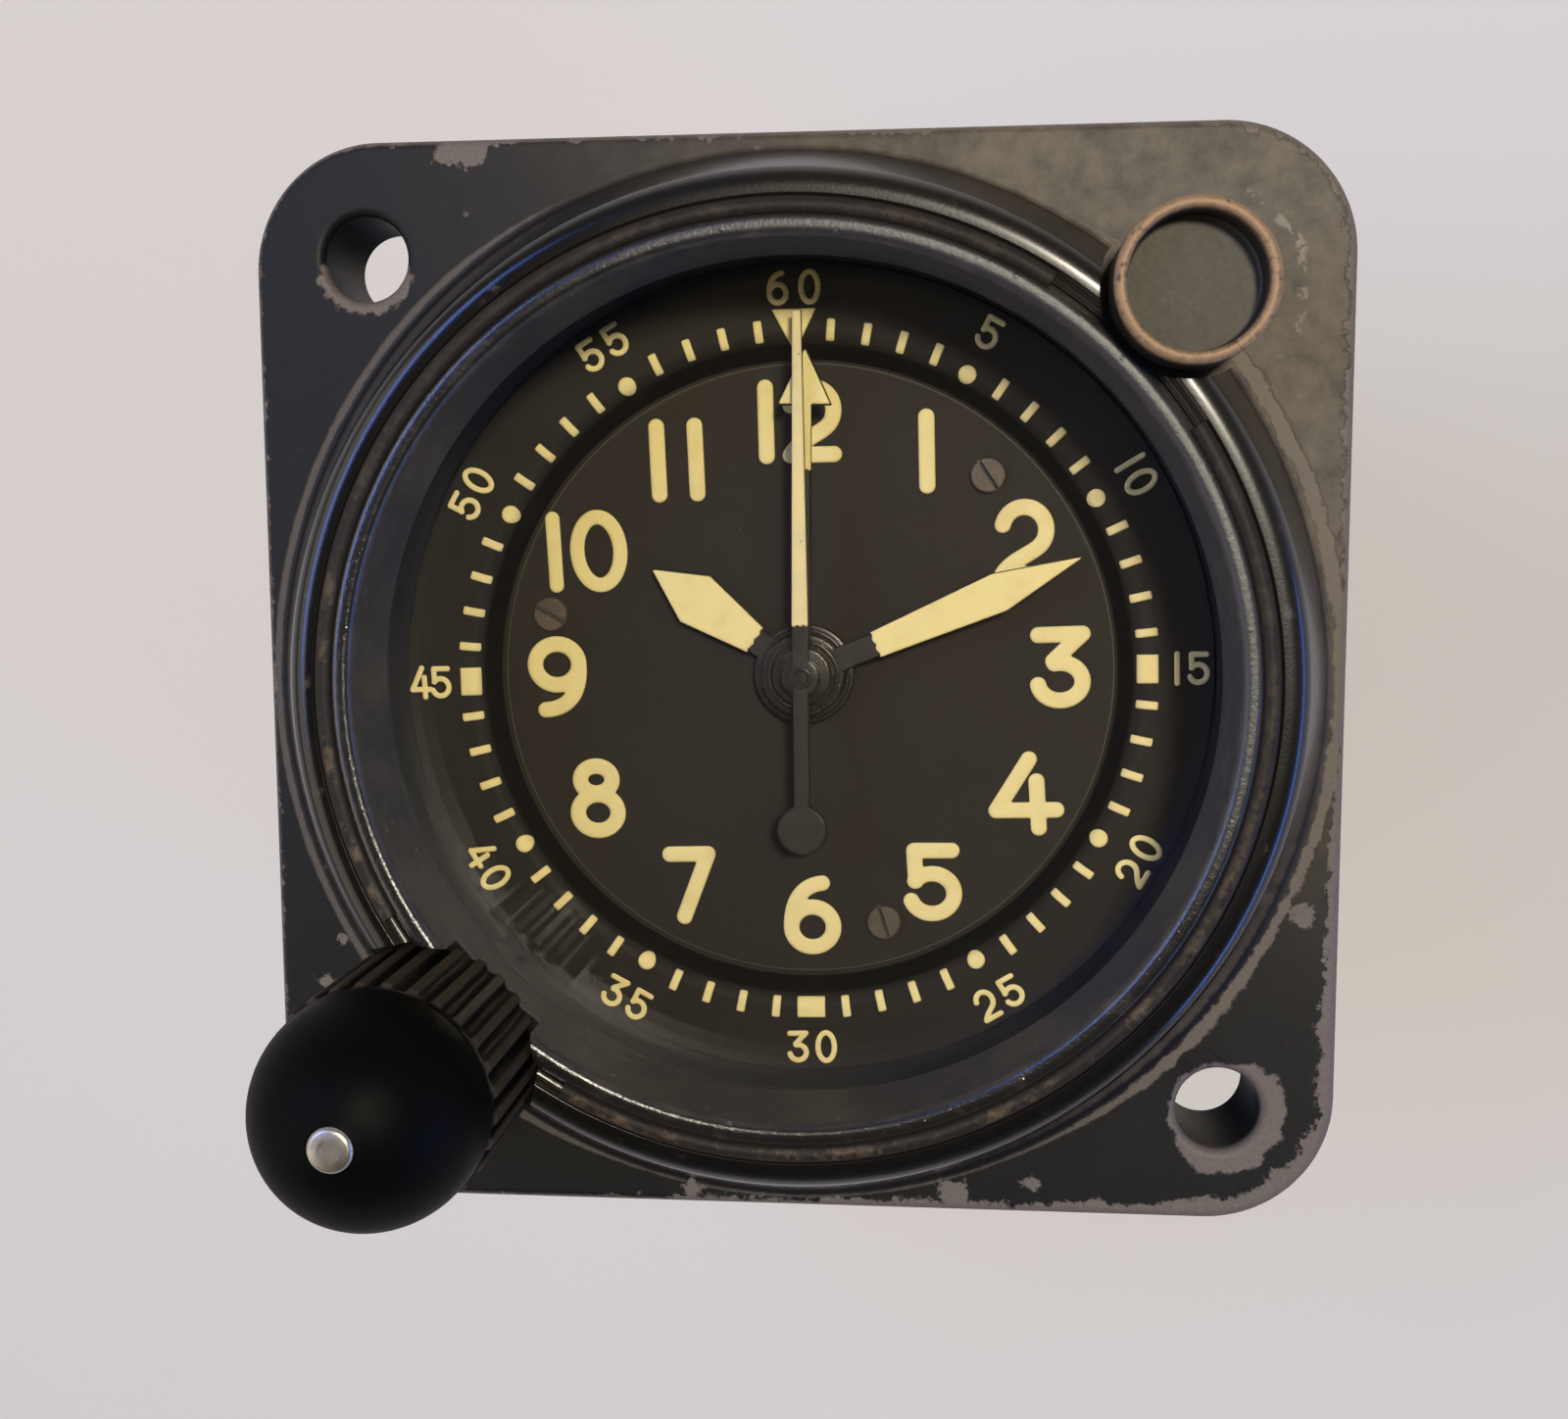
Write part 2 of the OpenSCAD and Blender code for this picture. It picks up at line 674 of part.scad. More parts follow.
module wheel_studs() color("#9a9a9c") {
  // Studs of the minute wheel and of the two idlers, with a stop collar between the idlers
  rod(minute_at, stud_r, z_plate, z_dial_back - 0.2);
  rod(idler_at, stud_r, z_plate, z_motion + 0.3);
  rod(minute_at, stud_r + 0.5, z_plate, z_motion - motion_t - 0.15);
  rod(pallet_at, stud_r, z_escape - escape_t - 0.3, z_rear);
  rod(reset_at, stud_r, z_heart - lever_t - 0.3, z_rear);
  rod(reset_at, stud_r + 0.6, z_heart + 0.15, z_rear);
}

// Winding

module flutes2d() difference() {
  circle(r = knob_r);
  for (i = [0:flutes - 1]) translate(polar(knob_r + flute_r * 0.25, i * 360 / flutes))
    circle(r = flute_r, $fn = 16);
}

module winding_knob() color("#121214") {
  foot = z_front + knob_foot;
  skirt = z_front + knob_skirt;
  // The smooth cap is a short cylinder under a half ball
  cap_r = knob_r - cap_step;
  cap_h = knob_top - cap_r - knob_skirt;
  difference() {
    translate([stem_at[0], stem_at[1], 0]) {
      translate([0, 0, foot]) linear_extrude(skirt - foot) flutes2d();
      translate([0, 0, skirt]) rotate_extrude() {
        square([cap_r, cap_h]);
        intersection() {
          translate([0, cap_h]) circle(r = cap_r, $fn = 128);
          square([cap_r, cap_h + cap_r]);
        }
      }
    }
    rod(stem_at, stem_r + fit_gap, foot - 1, skirt);
    rod(stem_at, bush_collar_r + 0.6, foot - 1, foot + 1.5);
    rod(stem_at, knob_pin_d / 2 + fit_gap, z_front + knob_top - 3, z_front + knob_top + 1);
  }
}

module knob_pin() color("#b9b4a8") {
  top = z_front + knob_top + 0.1;
  round = 0.3;
  rod(stem_at, knob_pin_d / 2, z_front + knob_top - 3, top - round);
  translate([stem_at[0], stem_at[1], top - round])
    cylinder(h = round, r1 = knob_pin_d / 2, r2 = knob_pin_d / 2 - round);
}

module winding_stem() color("#9d9d9f") {
  tip = z_yoke - yoke_t - 1.5;
  difference() {
    rod(stem_at, stem_r, tip, z_front + knob_skirt);
    tube(stem_at, yoke_groove_r, stem_r + 1, z_yoke - yoke_t - 0.15, z_yoke + 0.15);
  }
  gear(stem_at, stem_n, motion_m, z_winding, winding_t, stem_phase);
}

module stem_bush() color("#a8914a") {
  tube(stem_at, stem_r + run_gap, bush_r, 0, z_front);
  tube(stem_at, stem_r + run_gap, bush_collar_r, z_front + fit_gap, z_front + bush_collar_t);
  tube(stem_at, stem_r + run_gap, bush_r, z_front - 1, z_front + bush_collar_t);
}

module setting_yoke() color("#8f8f92") translate([0, 0, z_yoke - yoke_t]) linear_extrude(yoke_t)
  difference() {
    union() {
      bar2d(stem_at, guide_at, yoke_w);
      translate(stem_at) circle(r = 2.4);
    }
    // The fork is open away from the guide so that it slips into the stem's groove
    translate(stem_at) circle(r = yoke_groove_r + run_gap);
    translate(stem_at) rotate(heading(guide_at, stem_at)) translate([0, -yoke_groove_r - run_gap])
      square([4, 2 * (yoke_groove_r + run_gap)]);
    translate(guide_at) circle(r = guide_r + run_gap);
  }

module crown_wheel() color("#a9a9ab")
  gear(idler_at, idler_n, motion_m, z_winding, winding_t, crown_phase, stud_r + run_gap);

module ratchet_wheel() color("#a9a9ab")
  gear(barrel_at, ratchet_n, motion_m, z_winding, winding_t, ratchet_phase, barrel_arbor_r + fit_gap);

click_dir = 150;
click_reach = motion_m * (ratchet_n / 2 + 0.85) + 0.35;
click_at = barrel_at + polar(click_reach + 2.4, click_dir);
module click() color("#77777a") translate([0, 0, z_winding - winding_t]) linear_extrude(winding_t)
  difference() {
    union() {
      translate(click_at) circle(r = 1.3);
      // Pawl that points along the ratchet's rim
      translate(click_at) rotate(click_dir - 134) polygon([[0, -1.2], [3.6, -0.5], [3.6, 0.1], [0, 1.2]]);
    }
    translate(click_at) circle(r = stud_r + run_gap);
  }

module barrel_arbor() color("#9d9d9f") {
  rod(barrel_at, barrel_arbor_r, z_barrel - barrel_h, z_winding + 0.1);
  rod(barrel_at, barrel_pivot_r, z_back - plate_t * 0.6, z_barrel);
  rod(barrel_at, 2, z_barrel - barrel_h + 1.6, z_barrel - 1.6);
}

module barrel_drum() color("#bfa552") difference() {
  union() {
    gear(barrel_at, barrel_n, barrel_m, z_barrel, barrel_teeth_t);
    rod(barrel_at, drum_r, z_barrel - barrel_h, z_barrel);
  }
  rod(barrel_at, barrel_arbor_r + run_gap, z_barrel - barrel_h - 1, z_barrel + 1);
  rod(barrel_at, drum_r - 0.6, z_barrel - barrel_h - 1, z_barrel - barrel_teeth_t);
}

module barrel_cover() color("#bfa552")
  tube(barrel_at, barrel_arbor_r + run_gap, drum_r - 0.6 - fit_gap, z_barrel - barrel_h,
    z_barrel - barrel_h + 0.8);

module mainspring() color("#5d6670")
  translate([barrel_at[0], barrel_at[1], z_barrel - barrel_h + 1.2])
    linear_extrude(barrel_h - barrel_teeth_t - 1.6)
      spiral2d(2.6, drum_r - 0.6 - 0.125 - fit_gap, mainspring_turns, 0.25);

// Plates

module plate_holes(z0, holes) for (h = holes) rod(h[0], h[1], z0 - 1, z0 + plate_t + 1);

train_holes = [
  [barrel_at, barrel_arbor_r + run_gap],
  [intermediate_at, intermediate_r + run_gap],
  [[0, 0], centre_r + run_gap],
  [third_at, thin_arbor_r + run_gap],
  [fourth_at, thin_arbor_r + run_gap],
  [escape_at, thin_arbor_r + run_gap]
];

module front_plate() color("#c2b280") {
  difference() {
    rod([0, 0], plate_r, z_train, z_plate, $fn = 128);
    plate_holes(z_train, train_holes);
    plate_holes(z_train, [for (i = [0:boss_n - 1]) [boss_at(i), small_shank_r + 0.1]]);
  }
  // Guide pin of the setting yoke and stud of the click
  rod(guide_at, guide_r, z_yoke - yoke_t - 1, z_train);
  rod(click_at, stud_r, z_plate, z_winding + 0.2);
}

module back_plate() color("#c2b280") difference() {
  rod([0, 0], plate_r, z_rear, z_back, $fn = 128);
  plate_holes(z_rear, [for (i = [1:len(train_holes) - 1]) train_holes[i]]);
  plate_holes(z_rear, [
    [barrel_at, barrel_pivot_r + run_gap],
    [balance_at, staff_r + run_gap],
    [recorder_at, thin_arbor_r + run_gap]
  ]);
  plate_holes(z_rear, [for (a = pillar_angles) [polar(pillar_circle_r, a), small_shank_r + 0.1]]);
}

module plate_pillars() color("#b5a05a") for (a = pillar_angles) difference() {
  rod(polar(pillar_circle_r, a), pillar_r, z_back, z_train);
  rod(polar(pillar_circle_r, a), small_shank_r + fit_gap, z_back - 1, z_back + 4);
}

module plate_screws() color("#8c8c8c") for (a = pillar_angles)
  slotted_screw(polar(pillar_circle_r, a), 1.4, 0.8, small_shank_r, plate_t + 3, z_rear, -1);

module movement_screws() color("#8c8c8c") for (i = [0:boss_n - 1])
  slotted_screw(boss_at(i), 1.1, 0.8, small_shank_r, plate_t + 3, z_train, -1);

// Going train

module intermediate_wheel() color("#c9b04e")
  arbor_wheel(intermediate_at, intermediate_r, z_back - plate_t * 0.8, z_train + plate_t * 0.8,
    [intermediate_n, intermediate_m, z_intermediate, 0],
    [intermediate_pinion_n, barrel_m, z_barrel + 0.2, barrel_teeth_t + 0.4, intermediate_phase]);

module centre_wheel() color("#c9b04e") difference() {
  union() {
    rod([0, 0], centre_r, z_rear + 0.3, z_minute_hand - 0.2);
    gear([0, 0], centre_n, centre_m, z_centre, wheel_t);
    gear([0, 0], centre_pinion_n, intermediate_m, z_intermediate + 0.3, wheel_t + 0.6, centre_phase);
  }
  rod([0, 0], centre_in, z_rear - 1, z_front);
}

module third_wheel() color("#c9b04e")
  arbor_wheel(third_at, thin_arbor_r, z_back - plate_t * 0.8, z_train + plate_t * 0.8,
    [third_n, third_m, z_third, 0],
    [third_pinion_n, centre_m, z_centre + 0.2, wheel_t + 0.4, third_phase]);

module fourth_wheel() color("#c9b04e")
  arbor_wheel(fourth_at, thin_arbor_r, z_back - plate_t * 0.8, z_train + plate_t * 0.8,
    [fourth_n, fourth_m, z_fourth, 0],
    [fourth_pinion_n, third_m, z_third + 0.2, wheel_t + 0.4, fourth_phase]);

module escape_wheel() color("#d0b85a") {
  hub_r = 0.9;
  rod(escape_at, thin_arbor_r, z_escape - escape_t, z_train + plate_t * 0.8);
  gear(escape_at, escape_pinion_n, fourth_m, z_fourth + 0.2, wheel_t + 0.4, escape_phase);
  translate([escape_at[0], escape_at[1], z_escape - escape_t]) linear_extrude(escape_t) {
    circle(r = hub_r);
    difference() {
      // Club teeth lean forward
      polygon([for (i = [0:escape_n - 1], k = [[0.78, 0], [1, 0.5], [0.97, 0.72], [0.78, 0.55]])
        polar(k[0] * escape_r, (i + k[1]) * 360 / escape_n)]);
      circle(r = escape_r * 0.62);
    }
    for (i = [0:3]) rotate(90 * i) translate([0, -0.25]) square([escape_r * 0.7, 0.5]);
  }
}

module pallet_lever() color("#a0a0a4")
  translate([pallet_at[0], pallet_at[1], z_escape - escape_t]) linear_extrude(escape_t) {
    fork_l = 3.6;
    rotate(pallet_dir) difference() {
      union() {
        circle(r = 1.2);
        translate([0, -0.35]) square([fork_l + 0.2, 0.7]);
        translate([fork_l, -0.9]) square([0.9, 1.8]);
        // Arms with pallet stones that stand off the escape wheel
        polygon([[0.6, 0.3], [-0.4, 2.9], [-1.2, 2.7], [-0.9, 0.3], [-0.9, -0.3], [-1.2, -2.7], [-0.4, -2.9],
          [0.6, -0.3]]);
      }
      circle(r = stud_r + run_gap);
      translate([fork_l + 0.3, -0.4]) square([1, 0.8]);
    }
  }

module balance_wheel() color("#cdb55c") {
  rim = 0.9;
  roller_r = 0.8;
  translate([balance_at[0], balance_at[1], 0]) {
    translate([0, 0, z_cock - cock_t * 0.8])
      cylinder(h = z_rear + plate_t * 0.8 - z_cock + cock_t * 0.8, r = staff_r);
    translate([0, 0, z_escape - escape_t]) cylinder(h = escape_t, r = roller_r);
    translate([0, 0, z_balance - balance_t]) difference() {
      cylinder(h = balance_t, r = balance_r);
      translate([0, 0, -1]) cylinder(h = balance_t + 2, r = balance_r - rim);
    }
    translate([0, 0, z_balance - balance_t]) linear_extrude(0.5) {
      square([2 * balance_r - rim, 1.1], center = true);
      circle(r = 1.3);
    }
  }
}

module hairspring() color("#4d5a78")
  translate([balance_at[0], balance_at[1], z_cock + 0.15]) linear_extrude(0.3) {
    difference() {
      circle(r = staff_r + 0.4);
      circle(r = staff_r + fit_gap);
    }
    spiral2d(staff_r + 0.38, 3.6, hairspring_turns, 0.12);
  }

cock_w = 3.6;
cock_foot = balance_at + polar(balance_r + 4.2, heading([0, 0], balance_at) - 60);
module balance_cock() color("#b9a870") difference() {
  union() {
    translate([0, 0, z_cock - cock_t]) linear_extrude(cock_t) bar2d(balance_at, cock_foot, cock_w);
    rod(cock_foot, cock_w / 2, z_cock - cock_t, z_rear);
  }
  rod(balance_at, staff_r + run_gap, z_cock - cock_t - 1, z_cock + 1);
}

// Elapsed-time works behind the back plate

module sweep_arbor() color("#a9a9ab") {
  rod([0, 0], sweep_r, z_bridge - bridge_t * 0.8, z_sweep_hand + hand_t + 0.3);
  gear([0, 0], sweep_n, recorder_m, z_recorder + 0.2, wheel_t + 0.4, 0);
  // Heart cam that brings the hand to zero
  translate([0, 0, z_heart - lever_t]) linear_extrude(lever_t)
    polygon([for (i = [0:35]) polar(1 + 1.4 * abs(i - 18) / 18, dial_turn + 90 + 10 * i)]);
}

module elapsed_wheel() color("#c9b04e") {
  gear([0, 0], elapsed_n, elapsed_m, z_elapsed, wheel_t, elapsed_phase, elapsed_in);
  tube([0, 0], elapsed_in, elapsed_r, z_elapsed - wheel_t, z_elapsed_hand + hand_t);
}

module recorder_wheel() color("#c9b04e") {
  rod(recorder_at, thin_arbor_r, z_bridge - bridge_t * 0.8, z_rear + plate_t * 0.8);
  gear(recorder_at, recorder_n, recorder_m, z_recorder, wheel_t, recorder_phase);
  gear(recorder_at, recorder_pinion_n, elapsed_m, z_elapsed + 0.2, wheel_t + 0.4, 0);
}

bridge_w = 3.4;
bridge_dir = heading([0, 0], recorder_at);
bridge_feet = [polar(21, bridge_dir), polar(17, bridge_dir - 180)];
module chrono_bridge() color("#b9a870") difference() {
  union() {
    translate([0, 0, z_bridge - bridge_t]) linear_extrude(bridge_t)
      bar2d(bridge_feet[0], bridge_feet[1], bridge_w);
    for (p = bridge_feet) rod(p, bridge_w / 2, z_bridge - bridge_t, z_rear);
  }
  rod([0, 0], sweep_r + run_gap, z_bridge - bridge_t - 1, z_bridge + 1);
  rod(recorder_at, thin_arbor_r + run_gap, z_bridge - bridge_t - 1, z_bridge + 1);
}

// Radius of the pusher's cone at the lever's front face
cone_here = cone_r - (cone_r - cone_tip_r) * (z_cone - z_heart) / cone_l;
reset_arm = norm(pusher_at - reset_at);
reset_dir = heading(reset_at, pusher_at) - asin((cone_here + lever_gap + lever_w / 2) / reset_arm);
nose_at = [4.6, 2.2];
module reset_lever() color("#8f8f92") translate([0, 0, z_heart - lever_t]) linear_extrude(lever_t)
  difference() {
    union() {
      bar2d(reset_at, reset_at + polar(reset_arm - 0.8, reset_dir), lever_w);
      bar2d(reset_at, nose_at, lever_w);
      translate(reset_at) circle(r = 2);
    }
    translate(reset_at) circle(r = stud_r + run_gap);
  }

// Pusher

module pusher_button() color("#33302a") difference() {
  rim = 0.65;
  round = 0.35;
  top = z_front + button_top;
  translate([pusher_at[0], pusher_at[1], 0]) union() {
    translate([0, 0, z_button]) cylinder(h = top - round - z_button, r = button_r);
    translate([0, 0, top - round]) cylinder(h = round, r1 = button_r, r2 = button_r - round);
  }
  rod(pusher_at, button_r - rim, top - button_recess, top + 1);
  rod(pusher_at, pusher_r + fit_gap, z_button - 1, z_button + button_bore_floor);
}

module pusher_stem() color("#9d9d9f") {
  rod(pusher_at, pusher_r, z_cone, z_button + button_bore_floor - fit_gap);
  translate([pusher_at[0], pusher_at[1], z_cone - cone_l])
    cylinder(h = cone_l, r1 = cone_tip_r, r2 = cone_r);
  rod(pusher_at, cone_r, z_cone, z_cone + 1.2);
}

module pusher_bush() color("#a8914a") difference() {
  rod(pusher_at, bush_r, 0, z_front);
  rod(pusher_at, pusher_r + run_gap, -1, z_front + 1);
  rod(pusher_at, spring_r + spring_wire / 2 + 0.15, z_spring, z_front + 1);
}

// Return spring, one helix from the bush pocket up to the button
coil_steps = 8 * spring_turns;
coil_sides = 6;
coil_z0 = z_spring + spring_wire / 2 + fit_gap;
coil_z1 = z_button - spring_wire / 2 - fit_gap;
function coil_point(i) = [
  pusher_at[0] + spring_r * cos(360 * i / 8),
  pusher_at[1] + spring_r * sin(360 * i / 8),
  coil_z0 + (coil_z1 - coil_z0) * i / coil_steps
];
function coil_ring(i) = [for (k = [0:coil_sides - 1])
  let (out = spring_wire / 2 * cos(360 * k / coil_sides), up = spring_wire / 2 * sin(360 * k / coil_sides))
  coil_point(i) + [out * cos(360 * i / 8), out * sin(360 * i / 8), up]];
// Least gap between the wire and its own neighbouring turns, from the centre-line points
coil_gap = min([for (i = [0:coil_steps], j = [0:coil_steps]) if (abs(i - j) >= 4)
  norm(coil_point(i) - coil_point(j))]) - spring_wire;
echo(str("pusher_spring: least gap to itself is ", coil_gap, " mm"));
module pusher_spring() color("#9a9a9c") {
  last = coil_steps * coil_sides;
  polyhedron(
    points = [for (i = [0:coil_steps]) each coil_ring(i)],
    faces = concat(
      [for (i = [0:coil_steps - 1], k = [0:coil_sides - 1], half = [0, 1])
        let (a = i * coil_sides + k, b = i * coil_sides + (k + 1) % coil_sides)
        half == 0 ? [a, b, b + coil_sides] : [a, b + coil_sides, a + coil_sides]],
      [for (k = [1:coil_sides - 2]) [0, k + 1, k]],
      [for (k = [1:coil_sides - 2]) [last, last + k, last + k + 1]]
    )
  );
}

front_flange();
glass_ring();
snap_ring();
crystal();
crystal_gasket();
case_can();
rear_cover();
rear_cover_screws();
rear_posts();
chapter_ring();
dial();
dial_screws();
dial_posts();
hour_hand();
minute_hand();
elapsed_minute_hand();
sweep_seconds_hand();
cannon_pinion();
minute_wheel();
hour_wheel();
setting_wheel();
winding_knob();
knob_pin();
winding_stem();
stem_bush();
setting_yoke();
crown_wheel();
ratchet_wheel();
click();
barrel_arbor();
barrel_drum();
barrel_cover();
mainspring();
front_plate();
back_plate();
plate_pillars();
plate_screws();
movement_screws();
wheel_studs();
intermediate_wheel();
centre_wheel();
third_wheel();
fourth_wheel();
escape_wheel();
pallet_lever();
balance_wheel();
hairspring();
balance_cock();
sweep_arbor();
elapsed_wheel();
recorder_wheel();
chrono_bridge();
reset_lever();
pusher_button();
pusher_stem();
pusher_bush();
pusher_spring();
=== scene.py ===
"""Looks of the aircraft panel clock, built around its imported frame.

Lengths are in millimetres in the part's own frame and become metres in raw(). Lamps are placed in metres.
"""
from math import asin, atan2, ceil, cos, degrees, hypot, pi, radians, sin, sqrt, tan

import bpy
import numpy as np
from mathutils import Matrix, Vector


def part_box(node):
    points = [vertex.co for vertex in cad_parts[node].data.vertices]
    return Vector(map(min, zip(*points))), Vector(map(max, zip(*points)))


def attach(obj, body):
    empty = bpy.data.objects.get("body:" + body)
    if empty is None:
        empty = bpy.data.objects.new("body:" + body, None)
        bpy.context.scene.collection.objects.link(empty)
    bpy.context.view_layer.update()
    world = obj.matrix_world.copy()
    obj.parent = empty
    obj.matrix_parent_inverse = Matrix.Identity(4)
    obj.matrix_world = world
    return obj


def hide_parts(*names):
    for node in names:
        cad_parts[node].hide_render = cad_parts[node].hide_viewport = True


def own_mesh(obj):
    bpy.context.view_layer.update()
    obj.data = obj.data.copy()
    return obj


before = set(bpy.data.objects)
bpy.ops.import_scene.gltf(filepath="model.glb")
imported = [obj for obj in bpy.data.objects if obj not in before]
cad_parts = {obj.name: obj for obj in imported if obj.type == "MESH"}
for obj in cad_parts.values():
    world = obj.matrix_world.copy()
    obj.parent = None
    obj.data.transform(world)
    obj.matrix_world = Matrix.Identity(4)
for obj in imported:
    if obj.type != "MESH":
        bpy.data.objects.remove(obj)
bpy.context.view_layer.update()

MM = 0.001

# Flange, collar and glass
FRONT = 6.8
HALF = 30.15
CORNER = 7.1
SEAT_R = 25.4
WELL_R = 23.8
BORE_R = 24.3
SLEEVE_R = 25.5
FOOT_R = 29.2
COLLAR_TOP = 11.0
BEAD_TOP = 11.4
LIP_Z = 2.6
GASKET_Z = 3.1
GLASS_Z = 5.1
HOLE_AT = 47.625 / 2
HOLE_R = 2.35

# Minute ring and dial
RING_Z = -0.7
RING_R = 24.2
RING_IN_R = 19.75
BEVEL_R = 18.9
DIAL_Z = -3.02
DIAL_UNDER = -3.8
DIAL_R = 24.1
DIAL_STEP_R = 18.62
DIAL_TURN = 1.2

# Hands: heights, thickness, and clock angles at rest
Z_HOUR = -2.2
Z_MINUTE = -1.1
Z_ELAPSED = -0.2
Z_SWEEP = 0.7
HAND_T = 0.4
HOUR_ANGLE = 305.6
MINUTE_ANGLE = 68.2
ELAPSED_ANGLE = 2.0
SWEEP_ANGLE = 0.8

# Can behind the panel
CAN_R = 28.3
CAN_WALL = 1.3
LOBE_R = 5.2
COVER_Z = -35.4
BACK_Z = -37.0

# Knob and button, at opposite corners
STEM_D = 29.5
DIAGONAL = STEM_D / sqrt(2)
STEM_AT = (-DIAGONAL, -DIAGONAL)
PUSHER_AT = (DIAGONAL, DIAGONAL)
KNOB_R = 6.4
KNOB_GAP = 0.4
SKIRT_Z = FRONT + 11.0
SCALLOP_Z = FRONT + 1.5
ABOVE_Z = FRONT + 12.0
BUTTON_R = 4.15
BUTTON_GAP = 0.45
BUTTON_TOP = FRONT + 7.0
CUP_R = 3.5
CUP_FLOOR = BUTTON_TOP - 2.2
SPRING_LOW = 1.8
SPRING_TOP = 9.4


# Materials

def add_node(tree, kind, inputs=None, **settings):
    """A new shader node; its inputs are numbers, colours, sockets or Vals."""
    node = tree.nodes.new("ShaderNode" + kind)
    for name, value in settings.items():
        setattr(node, name, value)
    for key, value in (inputs or {}).items():
        socket = node.inputs[key]
        if isinstance(value, Val):
            value = value.socket
        if isinstance(value, bpy.types.NodeSocket):
            tree.links.new(value, socket)
        elif socket.type == "RGBA":
            socket.default_value = (*value, 1.0)
        else:
            socket.default_value = value
    return node


class Val:
    """A shader value that can be combined with + - * and a few functions."""

    def __init__(self, tree, socket):
        self.tree = tree
        self.socket = socket

    def op(self, kind, *others):
        values = dict(enumerate((self, *others)))
        return Val(self.tree, add_node(self.tree, "Math", values, operation=kind).outputs[0])

    def __add__(self, other):
        return self.op("ADD", other)

    def __sub__(self, other):
        return self.op("SUBTRACT", other)

    def __mul__(self, other):
        return self.op("MULTIPLY", other)

    def abs(self):
        return self.op("ABSOLUTE")

    def low(self, other):
        return self.op("MINIMUM", other)

    def high(self, other):
        return self.op("MAXIMUM", other)

    def ramp(self, start, end):
        """0 at start and 1 at end, smooth between, in either order."""
        rising = float(start < end)
        values = {"Value": self, "From Min": min(start, end), "From Max": max(start, end),
                  "To Min": 1.0 - rising, "To Max": rising}
        node = add_node(self.tree, "MapRange", values, interpolation_type="SMOOTHSTEP")
        return Val(self.tree, node.outputs["Result"])


class Paint:
    """A procedural material in the making, with coordinates in millimetres."""

    def __init__(self, name):
        self.mat = bpy.data.materials.new(name)
        self.mat.use_nodes = True
        self.tree = self.mat.node_tree
        self.tree.nodes.clear()
        place = self.add("TexCoord").outputs["Object"]
        self.mm = self.add("VectorMath", {0: place, "Scale": 1 / MM}, operation="SCALE").outputs["Vector"]
        split = self.add("SeparateXYZ", {0: self.mm})
        self.x, self.y, self.z = [Val(self.tree, split.outputs[axis]) for axis in "XYZ"]

    def add(self, kind, inputs=None, **settings):
        return add_node(self.tree, kind, inputs, **settings)

    def radius(self, at=(0.0, 0.0)):
        dx = self.x - at[0]
        dy = self.y - at[1]
        return (dx * dx + dy * dy).op("SQRT")

    def noise(self, scale, detail, rough, seed, stretch=None):
        """Noise from 0 to 1; scale is in cells per millimetre."""
        vector = self.mm
        if stretch:
            vector = self.add("VectorMath", {0: self.mm, 1: stretch}, operation="MULTIPLY").outputs["Vector"]
        values = {"Vector": vector, "W": seed, "Scale": scale, "Detail": detail, "Roughness": rough}
        return Val(self.tree, self.add("TexNoise", values, noise_dimensions="4D").outputs["Fac"])

    def specks(self, scale, size, share, seed):
        """1 inside scattered round specks; size is in cells, share is how many cells have one."""
        node = self.add("TexVoronoi", {"Vector": self.mm, "W": seed, "Scale": scale}, voronoi_dimensions="4D")
        dot = Val(self.tree, node.outputs["Distance"]).ramp(size, size * 0.5)
        split = self.add("SeparateColor", {0: node.outputs["Color"]})
        return dot * Val(self.tree, split.outputs[0]).ramp(share + 0.01, share - 0.01)

    def flat_edge(self):
        """Distance in from the outline of the square flange."""
        run = HALF - CORNER
        qx = self.x.abs() - run
        qy = self.y.abs() - run
        px = qx.high(0.0)
        py = qy.high(0.0)
        outside = (px * px + py * py).op("SQRT")
        inside = qx.high(qy).low(0.0)
        return (outside + inside - CORNER) * -1.0

    def mix(self, fac, a, b):
        """Colour a where fac is 0 and b where it is 1."""
        return self.add("Mix", {"Factor": fac, 6: a, 7: b}, data_type="RGBA").outputs[2]

    def shader(self, colour, rough, metal=0.0, bump=None, bump_mm=0.02, coat=0.0, coat_rough=0.1, spec=0.5):
        values = {"Base Color": colour, "Roughness": rough, "Metallic": metal, "Specular IOR Level": spec,
                  "Coat Weight": coat, "Coat Roughness": coat_rough}
        if bump is not None:
            values["Normal"] = self.add("Bump", {"Distance": bump_mm * MM, "Height": bump}).outputs["Normal"]
        return self.add("BsdfPrincipled", values)

    def output(self, shader):
        self.add("OutputMaterial", {"Surface": shader.outputs[0]})
        return self.mat

    def done(self, colour, rough, **more):
        return self.output(self.shader(colour, rough, **more))


BLACK = (0.0085, 0.0080, 0.0075)
BARE = (0.20, 0.172, 0.150)
BARE_DARK = (0.085, 0.072, 0.062)
LUME = (0.83, 0.69, 0.290)
LUME_OLD = (0.70, 0.54, 0.215)
HORIZON = (0.60, 0.57, 0.55)


